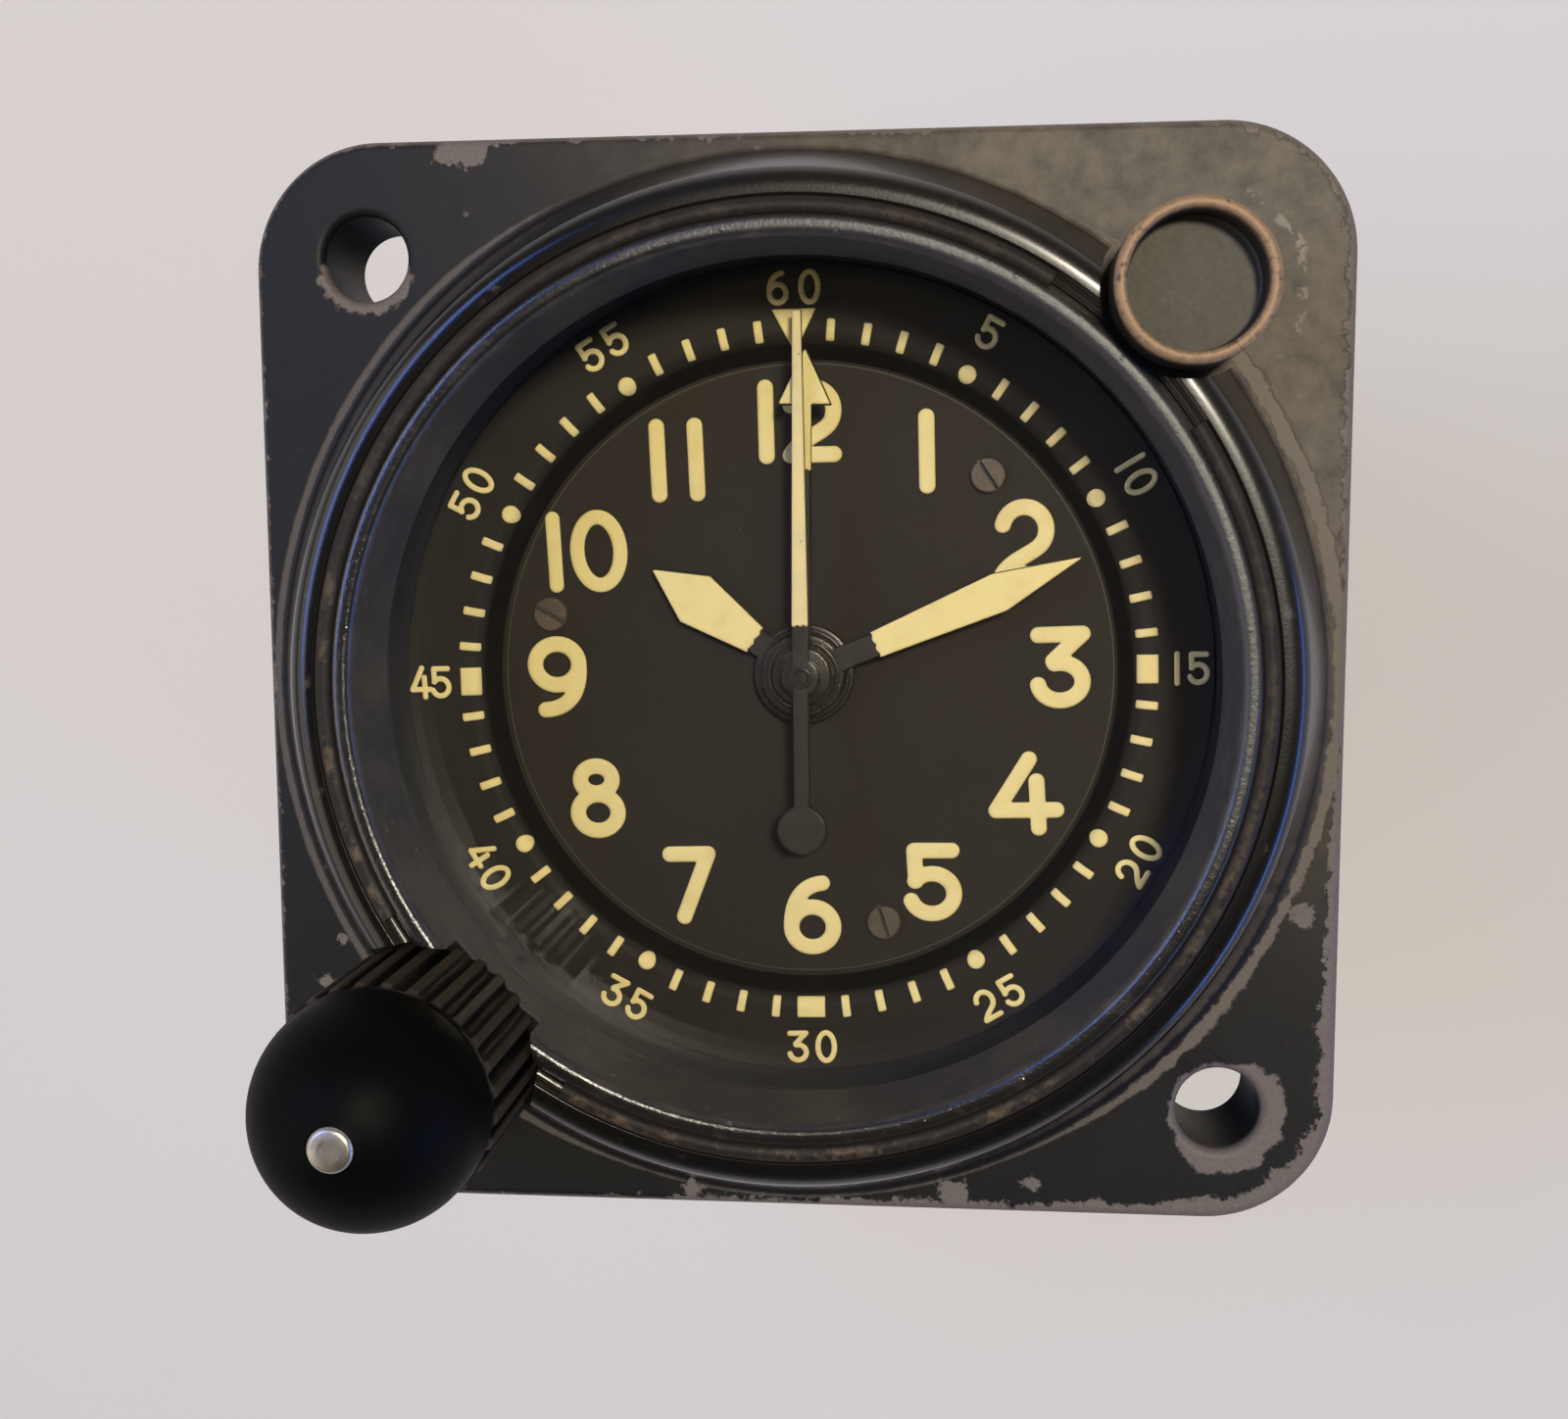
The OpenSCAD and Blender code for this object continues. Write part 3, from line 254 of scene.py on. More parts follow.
def enamel_flange():
    """Black paint, chipped to grey metal along edges, holes and the foot of the collar."""
    p = Paint("worn_black_enamel")
    edge = p.flat_edge()
    broad = p.noise(0.16, 3.0, 0.6, 3.0)
    chip = p.noise(1.1, 6.0, 0.68, 1.0)
    fine = p.noise(5.0, 3.0, 0.6, 2.0)
    front = p.z.ramp(FRONT - 0.9, FRONT - 0.3) * p.z.ramp(FRONT + 0.5, FRONT + 0.15)
    r = p.radius()

    # The right side and the lower right corner have lost the most paint
    right = p.x.ramp(20.0, 29.0)
    low_right = (p.x - p.y).ramp(30.0, 52.0)
    low = p.y.ramp(-24.0, -29.0) * p.x.ramp(-14.0, 2.0)
    heavy = right * 0.34 + low_right * 0.34 + low * 0.30
    reach = heavy * 1.2 + 0.16 + (broad - 0.5) * 0.9
    edge_chip = (reach + (chip - 0.5) * 2.6 - edge).ramp(-0.08, 0.12)
    rim_line = (edge + (fine - 0.5) * 0.4).ramp(0.36, 0.14)

    # Screw heads have rubbed the panel on one side of two holes
    upper = p.radius((-HOLE_AT, HOLE_AT)) - HOLE_R
    under = (p.y - HOLE_AT).ramp(0.6, -1.8)
    upper = (upper * -1.0 - 0.25 + under * 0.95 + (chip - 0.5) * 1.9).ramp(-0.08, 0.14)
    lower = p.radius((HOLE_AT, -HOLE_AT)) - HOLE_R
    beside = (p.x * 0.8 - p.y * 0.6 - HOLE_AT * 1.4).ramp(-1.9, 1.9)
    lower = (lower * -1.0 + 0.40 + beside * 0.95 + (chip - 0.5) * 1.5).ramp(-0.08, 0.14)
    holes = upper.high(lower)

    # A rubbed line follows the foot of the collar, broadest at the right
    left_side = p.x.ramp(-8.0, -21.0)
    right_side = p.x.ramp(12.0, 25.0)
    right_half = p.y.ramp(-14.0, 2.0) * 0.16 + 0.32
    half = left_side * 0.24 + right_side * right_half + p.y.ramp(-12.0, -24.0) * 0.10
    strip = (r - half - FOOT_R - 0.22).abs()
    ragged = (chip - 0.5) * (right_side * 0.9 + 0.25)
    band = (half - strip + ragged).ramp(-0.05, 0.14) * half.ramp(0.04, 0.12)
    band = band * p.z.ramp(FRONT + 0.55, FRONT + 0.2) * p.z.ramp(FRONT - 0.9, FRONT - 0.3)
    band = band * (right_side * 0.45 + 0.55)

    # Bare spots away from the edges
    spots = None
    places = (((-18.9, 29.5), 0.95), ((-17.8, 29.5), 0.95), ((-27.2, -17.4), 0.7), ((-26.4, -15.0), 0.35),
              ((24.5, 14.5), 0.3), ((-6.0, -29.2), 0.6), ((9.0, -29.0), 0.9), ((13.4, -28.4), 0.45),
              ((28.2, -12.6), 0.8), ((-29.2, 19.6), 0.2))
    for at, size in places:
        spot = (p.radius(at) * -1.0 + size + (chip - 0.5) * 2.6).ramp(-0.05, 0.15)
        spots = spot if spots is None else spots.high(spot)
    nicks = p.specks(0.55, 0.16, 0.16, 4.0) * (chip - 0.42).ramp(0.0, 0.1)
    near_button = p.radius(PUSHER_AT)
    scuff = (near_button - 6.3 + (broad - 0.5) * 4.0).abs().ramp(0.34, 0.10) * chip.ramp(0.52, 0.58)
    scuff = scuff * p.x.ramp(23.5, 25.0) * p.y.ramp(17.0, 19.0) * front
    worn = edge_chip.high(holes).high(spots).high(nicks).high(rim_line * 0.7) * front
    worn = worn.high(band)

    # Collar: streaks rubbed along its crown and slope, dirt in the groove of the wire, and painted shade that
    # blackens the bore below the lip
    collar = p.z.ramp(FRONT + 0.3, FRONT + 0.9)
    streak = p.noise(0.55, 5.0, 0.72, 8.0)
    crown = p.z.ramp(COLLAR_TOP - 0.7, COLLAR_TOP - 0.1) * r.ramp(26.0, 26.4)
    rub = (streak.ramp(0.60, 0.72) * crown * 0.25).high(streak.ramp(0.66, 0.76) * collar * 0.2)
    groove = r.ramp(26.2, 25.8) * p.z.ramp(COLLAR_TOP - 1.2, COLLAR_TOP - 0.6)
    bore = r.ramp(25.0, 24.7) * p.z.ramp(LIP_Z + 0.2, LIP_Z)

    metal_tone = p.mix(fine, BARE_DARK, BARE)
    toward = (p.x + p.y).ramp(6.0, 30.0)
    # Painted sheen and dust: the upper half is lighter, mostly a painted sheen of the key lamp with some
    # dust, while the lower half stays plain black
    film = (p.x * 0.9 + p.y).ramp(-6.0, 40.0)
    plain_black_tone = p.mix(broad, (0.0026, 0.0025, 0.0025), (0.0048, 0.0045, 0.0042))
    dusty = p.mix(broad, (0.0175, 0.0148, 0.0098), (0.0245, 0.0208, 0.0140))
    paint_tone = p.mix(collar, p.mix(film, plain_black_tone, dusty), p.mix(film * 0.3, plain_black_tone, dusty))
    tone = p.mix(worn.high(rub), paint_tone, metal_tone)
    # Painted highlight: the upper right corner of the front is lightened where the key lamp's glare lies
    painted_glare = (p.x + p.y).ramp(10.0, 40.0) * front * p.noise(0.5, 4.0, 0.65, 7.0).ramp(0.15, 0.75)
    tone = p.mix(painted_glare * 0.75, tone, (0.165, 0.135, 0.090))
    tone = p.mix(scuff * 0.7, tone, (0.26, 0.23, 0.175))
    tone = p.mix(groove * 0.8, tone, (0.020, 0.015, 0.010))
    # Painted shade: the bore wall below the lip is made near black
    tone = p.mix(bore, tone, (0.0025, 0.0023, 0.0020))
    dust = p.noise(1.8, 4.0, 0.7, 6.0).ramp(0.55, 0.80) * 0.18
    tone = p.mix(dust, tone, (0.050, 0.044, 0.033))
    rough = collar * (toward * 0.12 - 0.33) + rub * 0.3 + worn * 0.10 + bore * 0.4
    rough = rough + (fine - 0.5) * 0.08 + (broad - 0.5) * 0.08 + 0.53
    height = worn * -0.8 + (fine - 0.5) * 0.25 + (broad - 0.5) * 0.5
    return p.done(tone, rough, metal=worn * 0.2, bump=height, bump_mm=0.045, coat=collar * 0.5,
                  coat_rough=0.16, spec=0.28)


def enamel_ring():
    """Black glass ring: rubbed bead, brown dust down its inner wall."""
    p = Paint("dusty_black_ring")
    r = p.radius()
    fine = p.noise(4.0, 4.0, 0.65, 11.0)
    patch = p.noise(0.5, 4.0, 0.65, 12.0)
    wall = r.ramp(WELL_R + 0.3, WELL_R + 0.05)
    speck = p.specks(1.5, 0.30, 0.28, 13.0)
    dusty = wall * ((patch - 0.35) * 1.5 + (fine - 0.5) * 1.2).ramp(-0.1, 0.7)
    tone = p.mix(dusty * 0.85, BLACK, (0.066, 0.051, 0.034))
    tone = p.mix(speck * wall * 0.7, tone, (0.15, 0.12, 0.085))
    outer = r.ramp(SEAT_R - 0.75, SEAT_R - 0.25)
    tone = p.mix(outer * (fine * 0.5 + 0.3), tone, (0.036, 0.027, 0.018))
    bead = p.z.ramp(BEAD_TOP - 0.25, BEAD_TOP - 0.02) * patch.ramp(0.55, 0.66)
    tone = p.mix(bead * 0.2, tone, BARE_DARK)
    toward = (p.x + p.y).ramp(4.0, 28.0)
    rough = wall * 0.36 + toward * 0.24 + (fine - 0.5) * 0.10 + 0.20
    return p.done(tone, rough, bump=fine + speck * 0.5, bump_mm=0.03, spec=0.85)


def enamel_case():
    """Dull black paint of the rear can, with scuffs."""
    p = Paint("scuffed_black_case")
    scuff = p.noise(0.9, 6.0, 0.7, stretch=(1.0, 1.0, 0.18), seed=21.0).ramp(0.62, 0.74)
    fine = p.noise(6.0, 3.0, 0.6, 22.0)
    edge = p.z.ramp(BACK_Z + 0.5, BACK_Z) * p.noise(1.2, 5.0, 0.7, 23.0).ramp(0.52, 0.6)
    tone = p.mix(scuff * 0.35, BLACK, BARE_DARK)
    tone = p.mix(edge * 0.4, tone, BARE)
    return p.done(tone, (fine - 0.5) * 0.2 + scuff * 0.1 + 0.42, bump=fine + scuff * -0.8, bump_mm=0.03)


def dial_black(name, seed, low, high):
    """Matte brown-black with dust; the bevel that faces the dial is blacker."""
    p = Paint(name)
    cloud = p.noise(0.09, 3.0, 0.6, seed)
    grain = p.noise(9.0, 2.0, 0.6, seed + 1.0)
    lint = p.specks(0.7, 0.05, 0.35, seed + 2.0).high(p.specks(1.9, 0.07, 0.10, seed + 3.0))
    tone = p.mix(cloud, low, high)
    tone = p.mix(lint * 0.55, tone, (0.20, 0.18, 0.145))
    bevel = p.z.ramp(RING_Z - 0.35, RING_Z - 0.75) * p.z.ramp(DIAL_Z + 0.05, DIAL_Z + 0.15)
    tone = p.mix(bevel, tone, (0.0045, 0.0042, 0.0040))
    r = p.radius()
    bright = (r - DIAL_STEP_R).abs().ramp(0.10, 0.03) * p.z.ramp(DIAL_Z - 0.25, DIAL_Z - 0.02)
    bright = bright * p.z.ramp(DIAL_Z + 0.05, DIAL_Z + 0.02)
    tone = p.mix(bright * 0.6, tone, (0.16, 0.14, 0.11))
    return p.done(tone, (grain - 0.5) * 0.16 + 0.6, bump=grain, bump_mm=0.012, spec=0.06)


def lume(name, seed, dull=0.0):
    """Aged cream luminous paint, mottled, browner towards its edges in places."""
    p = Paint(name)
    patch = p.noise(0.55, 4.0, 0.6, seed)
    grain = p.noise(7.0, 4.0, 0.65, seed + 1.0)
    pits = p.specks(2.4, 0.20, 0.18, seed + 2.0)
    tone = p.mix(patch.ramp(0.46, 0.74) * 0.6, LUME, LUME_OLD)
    tone = p.mix(grain.ramp(0.56, 0.78) * 0.30, tone, (0.93, 0.86, 0.55))
    tone = p.mix((patch.ramp(0.3, 0.6) + 0.5) * dull, tone, (0.60, 0.53, 0.33))
    tone = p.mix(pits * (0.30 + dull), tone, (0.40 - dull, 0.28 - dull * 0.6, 0.10))
    return p.done(tone, (grain - 0.5) * 0.2 + 0.68, bump=grain + pits * -0.5, bump_mm=0.03, spec=0.3)


def metal(name, light, dark, rough, seed, scale, stretch=None, metallic=1.0, spec=0.5):
    """Brushed or turned metal with tarnish."""
    p = Paint(name)
    brush = p.noise(scale, 5.0, 0.65, seed, stretch)
    patch = p.noise(scale * 0.3, 4.0, 0.6, seed + 1.0)
    tone = p.mix(patch.ramp(0.4, 0.7) * 0.5, light, dark)
    tone = p.mix(brush.ramp(0.35, 0.75) * 0.35, tone, dark)
    return p.done(tone, (brush - 0.5) * 0.24 + rough, metal=metallic, bump=brush, bump_mm=0.012, spec=spec)


def knob_black():
    """Black moulding: dull dome; the lands of the flutes are brown-grey, partly rub and partly a painted
    sheen of warm light.
    """
    p = Paint("knob_black_moulding")
    r = p.radius(STEM_AT)
    fine = p.noise(3.0, 4.0, 0.65, 31.0)
    patch = p.noise(0.4, 3.0, 0.6, 32.0)
    skirt = p.z.ramp(SKIRT_Z + 0.2, SKIRT_Z - 0.2)
    # Painted sheen: the brown-grey on the lands is partly rub and partly warm grazing light painted in
    lands_rub_and_sheen = r.ramp(KNOB_R - 0.24, KNOB_R - 0.02) * skirt
    tone = p.mix(lands_rub_and_sheen * (fine * 0.6 + 0.3), (0.0016, 0.0015, 0.0014), (0.070, 0.054, 0.036))
    shoulder = p.z.ramp(SKIRT_Z - 0.4, SKIRT_Z - 0.1) * p.z.ramp(SKIRT_Z + 0.3, SKIRT_Z + 0.05)
    tone = p.mix(shoulder * patch.ramp(0.45, 0.6) * 0.6, tone, (0.060, 0.050, 0.038))
    rough = (fine - 0.5) * 0.10 + (patch - 0.5) * 0.10 + 0.50
    return p.done(tone, rough, bump=fine, bump_mm=0.012, spec=0.05)


def button_brass():
    """Blackened brass pusher, worn to metal round its rim, with an olive-grey floor."""
    p = Paint("worn_button")
    r = p.radius(PUSHER_AT)
    fine = p.noise(3.0, 5.0, 0.68, 41.0)
    patch = p.noise(0.8, 4.0, 0.6, 42.0)
    top = p.z.ramp(BUTTON_TOP - 0.8, BUTTON_TOP - 0.15)
    rubbed = ((fine - 0.5) * 1.8 + (patch - 0.5) * 1.4 + 0.72).ramp(0.25, 0.75)
    rim = top * r.ramp(CUP_R - 0.3, CUP_R) * rubbed
    floor = r.ramp(CUP_R, CUP_R - 0.2) * p.z.ramp(CUP_FLOOR + 0.5, CUP_FLOOR + 0.1)
    tone = p.mix(patch, (0.016, 0.0135, 0.011), (0.040, 0.032, 0.023))
    tone = p.mix(floor, tone, p.mix(patch, (0.046, 0.041, 0.028), (0.064, 0.057, 0.040)))
    tone = p.mix(rim, tone, p.mix(fine, (0.19, 0.125, 0.070), (0.40, 0.265, 0.15)))
    scratch = p.noise(1.2, 4.0, 0.7, stretch=(1.0, 5.0, 1.0), seed=43.0).ramp(0.66, 0.72) * floor
    tone = p.mix(scratch * 0.4, tone, (0.11, 0.10, 0.075))
    rough = floor * 0.16 + rim * 0.24 + (fine - 0.5) * 0.2 + 0.34
    return p.done(tone, rough, metal=rim * 0.4, bump=fine, bump_mm=0.03, spec=0.25)


def dirty_wire():
    """Snap ring wire under old dirt, bare in a few places."""
    p = Paint("dirty_snap_wire")
    fine = p.noise(2.2, 5.0, 0.7, 51.0)
    patch = p.noise(0.5, 3.0, 0.6, 52.0)
    crest = p.z.ramp(COLLAR_TOP + 0.30, COLLAR_TOP + 0.49)
    lower = (p.x * 0.35 + p.y).ramp(12.0, -16.0)
    tone = p.mix(fine, (0.008, 0.0065, 0.005), (0.024, 0.0175, 0.011))
    rubbed = crest * (patch + (fine - 0.5) * 0.8).ramp(0.46, 0.72) * (lower * 0.75 + 0.25)
    tone = p.mix(rubbed, tone, (0.105, 0.075, 0.044))
    return p.done(tone, (fine - 0.5) * 0.3 + 0.55, metal=0.1, bump=fine, bump_mm=0.06, spec=0.25)


def rubber():
    p = Paint("black_gasket")
    fine = p.noise(6.0, 3.0, 0.6, 61.0)
    tone = p.mix(fine, (0.010, 0.010, 0.010), (0.0150, 0.0138, 0.0120))
    return p.done(tone, (fine - 0.5) * 0.1 + 0.75, bump=fine)


def clear_glass():
    """Clear pane that lets lamps through, with a faint film of dust."""
    p = Paint("clear_glass")
    film = p.noise(0.25, 4.0, 0.6, 71.0).ramp(0.3, 0.9) * 0.03
    pane = p.add("BsdfPrincipled", {"Base Color": (0.985, 0.99, 0.985), "Transmission Weight": 1.0,
                                    "IOR": 1.5, "Roughness": film})
    path = p.add("LightPath").outputs
    through = Val(p.tree, path["Is Shadow Ray"]).high(Val(p.tree, path["Is Diffuse Ray"]))
    clear = p.add("BsdfTransparent")
    return p.output(p.add("MixShader", {"Fac": through, 1: pane.outputs[0], 2: clear.outputs[0]}))


MAT = {
    "flange": enamel_flange(),
    "ring": enamel_ring(),
    "case": enamel_case(),
    "dial": dial_black("matte_dial", 80.0, (0.0190, 0.0160, 0.0122), (0.0255, 0.0215, 0.0160)),
    "chapter": dial_black("matte_minute_ring", 90.0, (0.0150, 0.0128, 0.0100), (0.0215, 0.0182, 0.0140)),
    "hand": metal("dark_hand_steel", (0.028, 0.024, 0.019), (0.014, 0.012, 0.010), 0.55, 100.0, 3.0,
                  metallic=0.0, spec=0.10),
    "hub": metal("hub_steel", (0.024, 0.020, 0.016), (0.010, 0.009, 0.007), 0.22, 105.0, 3.0, metallic=0.3),
    "lume_hours": lume("lume_hours", 110.0),
    "lume_minutes": lume("lume_minutes", 120.0),
    "lume_hands": lume("lume_hands", 130.0),
    "lume_sweep": lume("lume_sweep", 135.0, 0.3),
    "knob": knob_black(),
    "pin": metal("pin_steel", (0.52, 0.50, 0.45), (0.26, 0.24, 0.20), 0.36, 140.0, 2.0),
    "button": button_brass(),
    "brass": metal("movement_brass", (0.72, 0.54, 0.25), (0.46, 0.32, 0.13), 0.30, 150.0, 1.2,
                   stretch=(1.0, 6.0, 1.0)),
    "steel": metal("movement_steel", (0.55, 0.55, 0.56), (0.30, 0.29, 0.28), 0.30, 160.0, 1.6,
                   stretch=(6.0, 1.0, 1.0)),
    "blued": metal("blued_steel", (0.10, 0.14, 0.30), (0.05, 0.06, 0.14), 0.28, 170.0, 2.0),
    "screw": metal("browned_steel", (0.085, 0.068, 0.050), (0.046, 0.036, 0.026), 0.50, 180.0, 2.5,
                   metallic=0.1, spec=0.12),
    # Painted shade: near-black material for the floors of the screw slots
    "slot": metal("painted_shade_slot", (0.010, 0.009, 0.008), (0.005, 0.005, 0.005), 0.7, 185.0, 2.5, metallic=0.0),
    "wire": dirty_wire(),
    "gasket": rubber(),
    "glass": clear_glass(),
}


# Mesh helpers

def add_object(name, data):
    obj = bpy.data.objects.new(name, data)
    bpy.context.scene.collection.objects.link(obj)
    return obj


def raw(name, verts, faces):
    """An object from vertices in millimetres, without material or body yet."""
    mesh = bpy.data.meshes.new(name)
    mesh.from_pydata([Vector(v) * MM for v in verts], [], faces)
    mesh.validate()
    mesh.update()
    return add_object(name, mesh)


def build(name, verts, faces, body, slot, mat, replaces=(), smooth=30.0):
    return dress(raw(name, verts, faces), body, mat, replaces, smooth)


def dress(obj, body, mat, replaces=(), smooth=30.0):
    """Makes an object a piece: material, smooth below the given edge angle, body and replaced nodes."""
    mesh = obj.data
    mesh.materials.clear()
    mesh.materials.append(MAT[mat])
    if smooth:
        mesh.shade_smooth()
        mesh.set_sharp_from_angle(angle=radians(smooth))
        normals = obj.modifiers.new("normals", "WEIGHTED_NORMAL")
        normals.keep_sharp = True
    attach(obj, body)
    if replaces:
        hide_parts(*replaces)
    return obj


def loft(rings, closed=False):
    """Quads between rings of equal length; closed joins the last ring to the first."""
    count = len(rings[0])
    verts = [v for ring in rings for v in ring]
    faces = []
    last = len(rings) if closed else len(rings) - 1
    for i in range(last):
        a = i * count
        b = ((i + 1) % len(rings)) * count
        for j in range(count):
            k = (j + 1) % count
            faces.append((a + j, a + k, b + k, b + j))
    return verts, faces


def capped(rings):
    """A loft whose first and last rings are closed by faces."""
    verts, faces = loft(rings)
    count = len(rings[0])
    faces.append(tuple(range(count - 1, -1, -1)))
    top = len(verts) - count
    faces.append(tuple(range(top, top + count)))
    return verts, faces


def joined(shapes):
    """Several shapes as one."""
    verts = []
    faces = []
    for more, sides in shapes:
        faces += [tuple(len(verts) + i for i in side) for side in sides]
        verts += more
    return verts, faces


def circle(r, z, at=(0.0, 0.0), count=256):
    turn = 2 * pi / count
    return [(at[0] + r * cos(i * turn), at[1] + r * sin(i * turn), z) for i in range(count)]


def rod(r, low, high, at, count):
    """A closed cylinder."""
    return capped([circle(r, low, at, count), circle(r, high, at, count)])


def coil(r, wire, path, sides, at=(0.0, 0.0)):
    """A round wire along a path of (angle, height) at radius r about an axis."""
    section = [(wire * cos(2 * pi * k / sides), wire * sin(2 * pi * k / sides)) for k in range(sides)]
    return capped([[(at[0] + (r + u) * cos(a), at[1] + (r + u) * sin(a), z + v) for u, v in section]
                   for a, z in path])


def quarter(steps):
    """Cosine and sine at even steps over a right angle."""
    return [(cos(pi / 2 * k / steps), sin(pi / 2 * k / steps)) for k in range(steps + 1)]


def rect(x, y):
    return [(-x, -y), (x, -y), (x, y), (-x, y)]


def rounded(points, steps=5):
    """A closed profile of (r, z, round) with each corner rounded by that radius."""
    out = []
    count = len(points)
    for i in range(count):
        here = Vector(points[i][:2])
        radius = points[i][2]
        if radius <= 0:
            out.append(tuple(here))
            continue
        back = (Vector(points[i - 1][:2]) - here).normalized()
        ahead = (Vector(points[(i + 1) % count][:2]) - here).normalized()
        half = back.angle(ahead) / 2
        tangent = radius / tan(half)
        centre = here + (back + ahead).normalized() * (radius / sin(half))
        start = here + back * tangent - centre
        end = here + ahead * tangent - centre
        sweep = start.angle_signed(end)
        for k in range(steps + 1):
            t = -sweep * k / steps
            c = cos(t)
            s = sin(t)
            out.append((centre.x + start.x * c - start.y * s, centre.y + start.x * s + start.y * c))
    return out


def lathe(points, at=(0.0, 0.0), count=256, steps=5):
    """A ring of revolution from a closed profile that stays off the axis."""
    return loft([circle(r, z, at, count) for r, z in rounded(points, steps)], closed=True)


def turned(points, at=(0.0, 0.0), count=64, steps=5):
    """A solid of revolution; the profile's first and last points lie on the axis."""
    profile = [p for p in rounded(points, steps) if p[0] > 1e-6]
    return capped([circle(r, z, at, count) for r, z in profile])


def cut(obj, verts, faces):
    """Takes a closed shape out of a piece."""
    tool = raw("cutter", verts, faces)
    mod = obj.modifiers.new("cut", "BOOLEAN")
    mod.operation = "DIFFERENCE"
    mod.solver = "EXACT"
    mod.object = tool
    settle(obj)
    mesh = tool.data
    bpy.data.objects.remove(tool)
    bpy.data.meshes.remove(mesh)


def settle(obj):
    """Applies the modifiers of a piece to its mesh."""
    bpy.context.view_layer.update()
    graph = bpy.context.evaluated_depsgraph_get()
    fresh = bpy.data.meshes.new_from_object(obj.evaluated_get(graph))
    obj.modifiers.clear()
    old = obj.data
    name = old.name
    obj.data = fresh
    bpy.data.meshes.remove(old)
    fresh.name = name


def bevelled(node, width, mat, body):
    """A copy of a CAD node with small rounded edges, which stands for it."""
    obj = add_object(node + "_dressed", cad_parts[node].data.copy())
    weld = obj.modifiers.new("weld", "WELD")
    weld.merge_threshold = 0.002 * MM
    flat = obj.modifiers.new("flat", "DECIMATE")
    flat.decimate_type = "DISSOLVE"
    flat.angle_limit = radians(1.0)
    round_off = obj.modifiers.new("round", "BEVEL")
    round_off.width = width * MM
    round_off.segments = 2
    round_off.limit_method = "ANGLE"
    round_off.angle_limit = radians(40)
    settle(obj)
    return dress(obj, body, mat, (node,))


# Front flange with its raised collar

def outline_point(angle, inset):
    """Point of the square outline, moved in by inset, on the ray at an angle."""
    c = cos(angle)
    s = sin(angle)
    half = HALF - inset
    radius = max(CORNER - inset, 0.5)
    run = half - radius
    reach = half / max(abs(c), abs(s))
    if min(abs(c), abs(s)) * reach > run:
        along = (abs(c) + abs(s)) * run
        reach = along + sqrt(along * along - 2 * run * run + radius * radius)
    return reach * c, reach * s


def flange_angles():
    """Even steps, with more of them round the four corners."""
    low = atan2(HALF - CORNER, HALF)
    high = pi / 2 - low
    side = list(np.linspace(high - pi / 2, low, 70, endpoint=False))
    side += list(np.linspace(low, high, 26, endpoint=False))
    return [a + k * pi / 2 for k in range(4) for a in side]


def make_flange():
    """One closed loft, then its holes and scallops."""
    angles = flange_angles()

    def ring(r, z):
        return [(r * cos(a), r * sin(a), z) for a in angles]

    def edge(inset, z):
        return [(*outline_point(a, inset), z) for a in angles]

    groove = 0.52
    low = DIAL_Z + 0.02
    rings = [ring(BORE_R, low), ring(BORE_R, LIP_Z), ring(SEAT_R, LIP_Z), ring(SEAT_R, COLLAR_TOP - groove)]
    rings += [ring(SEAT_R + groove * s, COLLAR_TOP - groove * c) for c, s in quarter(5)[1:5]]
    crest = 26.0
    shoulder = FOOT_R - (COLLAR_TOP - FRONT) / tan(radians(64.8))
    ridge = rounded([(crest, COLLAR_TOP, 0.1), (shoulder, COLLAR_TOP, 1.3), (FOOT_R, FRONT, 0.3),
                     (FOOT_R + 0.3, FRONT, 0), (FOOT_R + 0.3, 0.0, 0), (crest, 0.0, 0)], steps=9)
    rings += [ring(r, z) for r, z in ridge[:-3]]
    rings.append(edge(0.6, FRONT))
    round_r = 0.5
    rings += [edge(round_r - round_r * s, FRONT - round_r + round_r * c) for c, s in quarter(6)]
    rings += [edge(0.0, FRONT / 2), edge(0.0, 0.3), edge(0.09, 0.09), edge(0.3, 0.0)]
    rings += [ring(CAN_R + 0.2, 0.0), ring(SLEEVE_R, 0.0), ring(SLEEVE_R, low)]
    flange = raw("front_flange_body", *loft(rings, closed=True))

    # Screw holes with a worn mouth, bush holes, and scallops for knob and button
    for sx, sy in ((-1, 1), (1, -1)):
        at = (sx * HOLE_AT, sy * HOLE_AT)
        mouth = [circle(HOLE_R, -1.0, at, 64), circle(HOLE_R, FRONT - round_r, at, 64)]
        mouth += [circle(HOLE_R + round_r - round_r * c, FRONT - round_r + round_r * s, at, 64)
                  for c, s in quarter(5)[1:]]
        mouth.append(circle(HOLE_R + round_r, FRONT + 1.0, at, 64))
        cut(flange, *capped(mouth))
    bush_r = 2.62
    bush_head_r = 3.25
    face = FRONT + 0.01
    for at, r, z in ((STEM_AT, bush_r, -1.0), (PUSHER_AT, bush_r, -1.0), (STEM_AT, bush_head_r, face),
                     (STEM_AT, KNOB_R + KNOB_GAP, SCALLOP_Z), (PUSHER_AT, BUTTON_R + BUTTON_GAP, face)):
        cut(flange, *rod(r, z, ABOVE_Z, at, 96))
    return dress(flange, "case", "flange", ("front_flange",), 34.0)


make_flange()


# Glass ring, snap ring, glass and gasket

